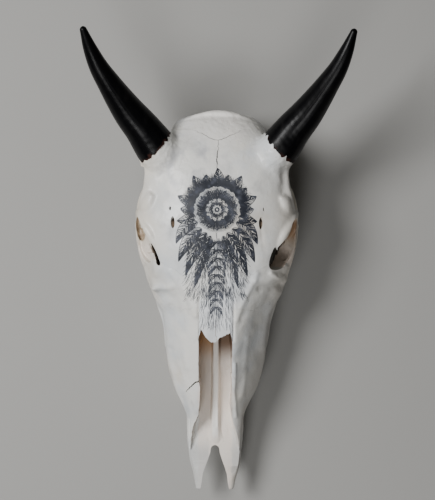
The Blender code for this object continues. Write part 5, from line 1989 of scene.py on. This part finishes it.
        # Brown past the nasal tips: partly a stain and partly painted shadow of the nasal bones' ends on the
        # floor.
        brown = net.mix(net.x.step(-0.002, 0.002), self.amber, self.umber)
        net.coat(lit * net.y.step(-0.119, -0.095), brown)
        # Painted highlight: the vomer's top is whitened as if the key light caught it.
        ridge = net.side.step(0.0036, 0.0022) * net.z.step(0.0425, 0.045)
        net.coat(ridge * net.z.step(0.062, 0.058) * net.y.step(-0.086, -0.094), self.ivory)
        net.coat(net.x.step(-0.004, -0.008) * net.y.step(-0.196, -0.214) * 0.75, self.grey)

    def _colour_sockets(self) -> None:
        """Colour the sockets, the right recess and the left crescent, with painted shade in the left socket
        below its brow.
        """
        net = self.net
        # Brown stain in both sockets, laid more strongly in the left one as painted shade below its brow.
        for sign, strength in ((1, 0.75), (-1, 0.35)):
            socket = net.distance((sign * 0.059, 0.012, 0.089)).step(0.0275, 0.0195)
            net.coat(socket * strength, self.socket)
            pale = net.distance((sign * 0.071, -0.004, 0.08)).step(0.016, 0.007)
            net.coat(pale * 0.6, self.pink)
        lean = (net.x + 0.0779 + 0.16 * (net.y - 0.021)) / 0.0045
        oval = lean ** 2 + ((net.y - 0.021) / 0.013) ** 2
        spots = net.mix(net.noise(190.0, 3.0).step(0.42, 0.62), self.beige, self.spotted)
        net.coat(oval.step(1.15, 0.8) * net.z.step(0.09, 0.088), spots)
        # Painted shade: the upper part of the left socket is darkened where the brow shades it.
        upper = net.distance((0.0775, 0.023, 0.078)).step(0.016, 0.006) * net.side.step(0.0823, 0.0812)
        net.coat(upper * net.x.step(0.0, 0.01) * net.z.step(0.096, 0.088), self.stain)
        low_face = net.distance((0.064, -0.007, 0.082)).step(0.0175, 0.012)
        net.coat(low_face * net.z.step(0.0955, 0.0925), self.rose)

    def _darken_holes(self) -> None:
        """Darken the brow pits, the pore, the right slit and the depth of the left crescent, as painted
        shade.
        """
        net = self.net
        for sign in (1, -1):
            # Each brow pit is brown, with painted shade at its upper end.
            pit = net.distance((sign * BROW_PIT[0], BROW_PIT[1], BROW_PIT[2] - 0.007)).step(0.0072, 0.0052)
            net.coat(pit, self.socket)
            net.coat(pit * net.y.step(BROW_PIT[1] - 0.001, BROW_PIT[1] + 0.003), self.soot)
        # Painted shade in the pore on the right of the brow.
        net.coat(net.distance((-0.047, 0.0412, 0.1245)).step(0.0034, 0.0026), self.soot)
        # Painted shade in the right slit.
        across = net.maths("ABSOLUTE", 0.93 * (net.x + 0.0613) + 0.367 * (net.y + 0.0045))
        along = net.maths("ABSOLUTE", 0.367 * (net.x + 0.0613) - 0.93 * (net.y + 0.0045))
        slit = across.step(0.0036, 0.003) * along.step(0.013, 0.0115)
        net.coat(slit * net.z.step(0.0935, 0.09), self.bark)
        # Painted shadow: the strip and hole in the depth of the left crescent are made near black.
        for edge, centre, radius, core, top, full in (
            (0.06, (0.0545, -0.0075, 0.08), 0.036, 0.03, 0.094, 0.088),
            (0.0635, (0.0565, -0.0075, 0.066), 0.022, 0.017, 0.08, 0.078),
        ):
            inside = (edge + 0.34 * net.y - net.x).step(-0.0008, 0.0006)
            net.coat(inside * net.distance(centre).step(radius, core) * net.z.step(top, full), self.soot)

    def _smudge(self, inked: Signal) -> None:
        """Rub traces of ink into the bone round the ornament.

        Args:
            inked: Mask of the inked forehead.
        """
        net = self.net
        cloudy = net.noise(48.0, 4.0, shift=5.0).step(0.5, 0.68)
        fade = net.distance((0.0, -0.045, 0.12)).step(0.034, 0.01) * net.z.step(0.1, 0.106) * 0.7
        net.coat(net.maths("MAXIMUM", inked, fade) * cloudy * 0.5, self.smudge)

    def _colour_teeth(self, tooth: Signal) -> None:
        """Colour the teeth, with dark hollows in their worn faces.

        Args:
            tooth: Mask of the teeth.
        """
        net = self.net
        net.coat(tooth, self.enamel)
        normal = net.node("ShaderNodeNewGeometry", {}, {}, "Normal")
        facing_down = net.node("ShaderNodeSeparateXYZ", {}, {"Vector": normal}, "Z").step(-0.25, -0.75)
        net.coat(tooth * net.z.step(0.0005, 0.0012) * facing_down, self.stain)


@dataclass(frozen=True)
class HornFinish:
    """Polished black horn, red-brown at its ragged lower edge."""

    name: str
    side: Side
    black: Point = (0.0022, 0.0022, 0.0026)
    brown: Point = (0.034, 0.012, 0.008)
    grey: Point = (0.008, 0.0075, 0.0075)

    def material(self) -> bpy.types.Material:
        """Build the material.

        Returns:
            The material.
        """
        net = Net(self.name, self.black)
        normal = Vector(self.side.place(HORN_BASE_NORMAL)).normalized()
        from_base = net.vector("SUBTRACT", net.place, self.side.place(HORN_BASE))
        above = net.vector("DOT_PRODUCT", from_base, tuple(normal), output="Value")
        ragged = above + (net.noise(170.0, 4.0) - 0.42) * 0.016
        grain = net.noise(160.0, 4.0, (1.0, 0.35, 1.0))
        net.coat(grain.step(0.52, 0.78) * 0.45, self.grey)
        net.coat(ragged.step(0.004, -0.001), self.brown)
        net.finish({
            "Base Color": net.colour,
            "Roughness": 0.3 + 0.2 * (grain - 0.5) + 0.3 * ragged.step(0.006, 0.0),
            "Specular IOR Level": 0.12,
        })
        net.bump(grain + 0.4 * net.noise(700.0, 2.0), 0.25, 0.0004)
        return net.material


@dataclass(frozen=True)
class InkFinish:
    """Blue-black ink rubbed into the bone, worn thin in places."""

    name: str = "rubbed_ink"
    dark: Point = (0.01, 0.013, 0.022)
    worn: Point = (0.07, 0.078, 0.105)

    def material(self) -> bpy.types.Material:
        """Build the material.

        Returns:
            The material.
        """
        net = Net(self.name, self.dark)
        worn = net.noise(160.0, 3.0).step(0.45, 0.75)
        nose = net.y.step(-0.01, -0.06)
        net.coat(net.maths("MINIMUM", worn * 0.8 + nose * 0.45, 1.0), self.worn)
        net.finish({"Base Color": net.colour, "Roughness": 0.5 + 0.2 * worn})
        net.bump(net.noise(900.0, 2.0), 0.2, 0.0003)
        return net.material


@dataclass(frozen=True)
class FloorFinish:
    """Plain pale studio floor."""

    name: str = "studio_floor"
    colour: Point = (0.36, 0.355, 0.34)
    roughness: float = 0.85

    def material(self) -> bpy.types.Material:
        """Build the material.

        Returns:
            The material.
        """
        net = Net(self.name, self.colour)
        net.coat(net.noise(6.0, 2.0), tuple(c * 0.97 for c in self.colour))
        net.finish({"Base Color": net.colour, "Roughness": self.roughness})
        return net.material


@dataclass(frozen=True)
class Lamp:
    """Round soft lamp that points at the skull."""

    name: str
    place: Point
    power: float
    size: float = 0.8
    target: Point = (0, 0, 0.08)

    def build(self) -> None:
        """Hang the lamp."""
        light = bpy.data.lights.new(self.name, "AREA")
        light.shape = "DISK"
        light.size = self.size
        light.energy = self.power
        lamp = bpy.data.objects.new(self.name, light)
        lamp.location = self.place
        lamp.rotation_euler = (Vector(self.place) - Vector(self.target)).to_track_quat("Z", "Y").to_euler()
        bpy.context.scene.collection.objects.link(lamp)


@dataclass(frozen=True)
class Studio:
    """Floor, soft lights and the camera over the skull."""

    floor_size: float = 6.0
    lamps: Sequence[Lamp] = (
        Lamp("key", (-1.06, 0.36, 1.66), 40.0), Lamp("nose_fill", (-0.3, -1.08, 1.8), 15.0),
    )
    air_colour: Point = (1.0, 0.96, 0.9)
    air_strength: float = 0.035
    camera_height: float = 1.72
    camera_aside: float = 0.0008
    roll: float = math.radians(0.5)
    sensor_width: float = 36.0
    # Width that fills the picture at a given height, that of the forehead.
    field_width: float = 0.435
    field_height: float = 0.12

    def build(self) -> None:
        """Set up the studio."""
        self._floor()
        for lamp in self.lamps:
            lamp.build()
        world = bpy.data.worlds.new("studio_air")
        world.use_nodes = True
        background = world.node_tree.nodes["Background"]
        background.inputs["Color"].default_value = (*self.air_colour, 1.0)
        background.inputs["Strength"].default_value = self.air_strength
        bpy.context.scene.world = world
        self._camera()

    def _floor(self) -> None:
        """Lay the floor."""
        shape = bmesh.new()
        bmesh.ops.create_grid(shape, x_segments=1, y_segments=1, size=self.floor_size / 2)
        mesh = bpy.data.meshes.new("floor")
        shape.to_mesh(mesh)
        shape.free()
        floor = bpy.data.objects.new("floor", mesh)
        floor.data.materials.append(FloorFinish().material())
        bpy.context.scene.collection.objects.link(floor)

    def _camera(self) -> None:
        """Hang the camera over the forehead."""
        lens = bpy.data.cameras.new("camera")
        camera = bpy.data.objects.new("camera", lens)
        camera.location = (self.camera_aside, FORE_AFT_SHIFT, self.camera_height)
        camera.rotation_euler = (0, 0, self.roll)
        lens.sensor_fit = "HORIZONTAL"
        lens.sensor_width = self.sensor_width
        lens.lens = self.sensor_width * (self.camera_height - self.field_height) / self.field_width
        bpy.context.scene.collection.objects.link(camera)
        bpy.context.scene.camera = camera


@dataclass(frozen=True)
class Meshing:
    """How finely the pieces are meshed."""

    voxel: float
    tooth_points: int
    horn_columns: int
    horn_levels: int


class Detail(Enum):
    QUICK = Meshing(0.0016, 20, 48, 50)
    FINE = Meshing(0.0009, 44, 120, 150)


@dataclass(frozen=True)
class SkullModel:
    """The finished model: every piece dressed and tied to the frame."""

    meshing: Meshing
    # How much wider than the horn its space in the bone is, all round.
    horn_room: float = 0.003
    smooth_below: float = math.radians(48)

    def _adopt(
        self, thing: bpy.types.Object, name: str, material: bpy.types.Material, node: Optional[str] = None
    ) -> None:
        """Dress a piece, move it to its place and tie it to the frame.

        Args:
            thing: The piece's object.
            name: Name of the piece.
            material: Its finish.
            node: The frame's node that it replaces, if any.
        """
        thing.name = name
        thing.data.name = name
        flat = np.empty(len(thing.data.vertices) * 3, np.float32)
        thing.data.vertices.foreach_get("co", flat)
        flat[1::3] += FORE_AFT_SHIFT
        thing.data.vertices.foreach_set("co", flat)
        thing.data.materials.clear()
        thing.data.materials.append(material)
        thing.data.shade_smooth()
        thing.data.set_sharp_from_angle(angle=self.smooth_below)
        thing.data.update()
        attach(thing, "root")
        if node:
            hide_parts(node)
        LOG.info("piece %s: %d faces", name, len(thing.data.polygons))

    def build(self) -> None:
        """Build all pieces."""
        size = self.meshing
        skull = SkullBone(size.voxel)
        ornament = Ornament(skull.surface())
        ornament.design()
        ink = ornament.build("ornament_ink")
        for crack in CRACKS:
            skull.body.combine(crack.build())
        sheaths = {side: HornSheath(side, size.horn_columns, size.horn_levels) for side in Side}
        for sheath in sheaths.values():
            skull.body.combine(sheath.build("horn_space", self.horn_room, HAIRLINE))
        vomer = Vomer()
        skull.body.combine(vomer.build("vomer_space", HAIRLINE / 2))
        skull.body.keep_largest()
        skull.part()
        bone = BoneFinish().material()
        for side in Side:
            ToothRow(side, size.tooth_points).add_to(skull.bones[f"maxilla_{side.label}"])
        for node, solid in skull.bones.items():
            self._adopt(solid.thing, f"{node}_bone", bone, node)
        self._adopt(vomer.build("vomer").thing, "vomer_bone", bone, "vomer")
        for side, sheath in sheaths.items():
            horn = HornFinish(f"black_horn_{side.label}", side).material()
            self._adopt(sheath.build("horn").thing, f"horn_sheath_{side.label}", horn, f"horn_{side.label}")
        self._adopt(ink, "ornament_ink", InkFinish().material())


def main() -> None:
    """Build the model and the studio."""
    logging.basicConfig(level=logging.INFO, format="%(name)s: %(message)s")
    detail = Detail.FINE
    SkullModel(detail.value).build()
    Studio().build()


if __name__ == "__main__":
    main()
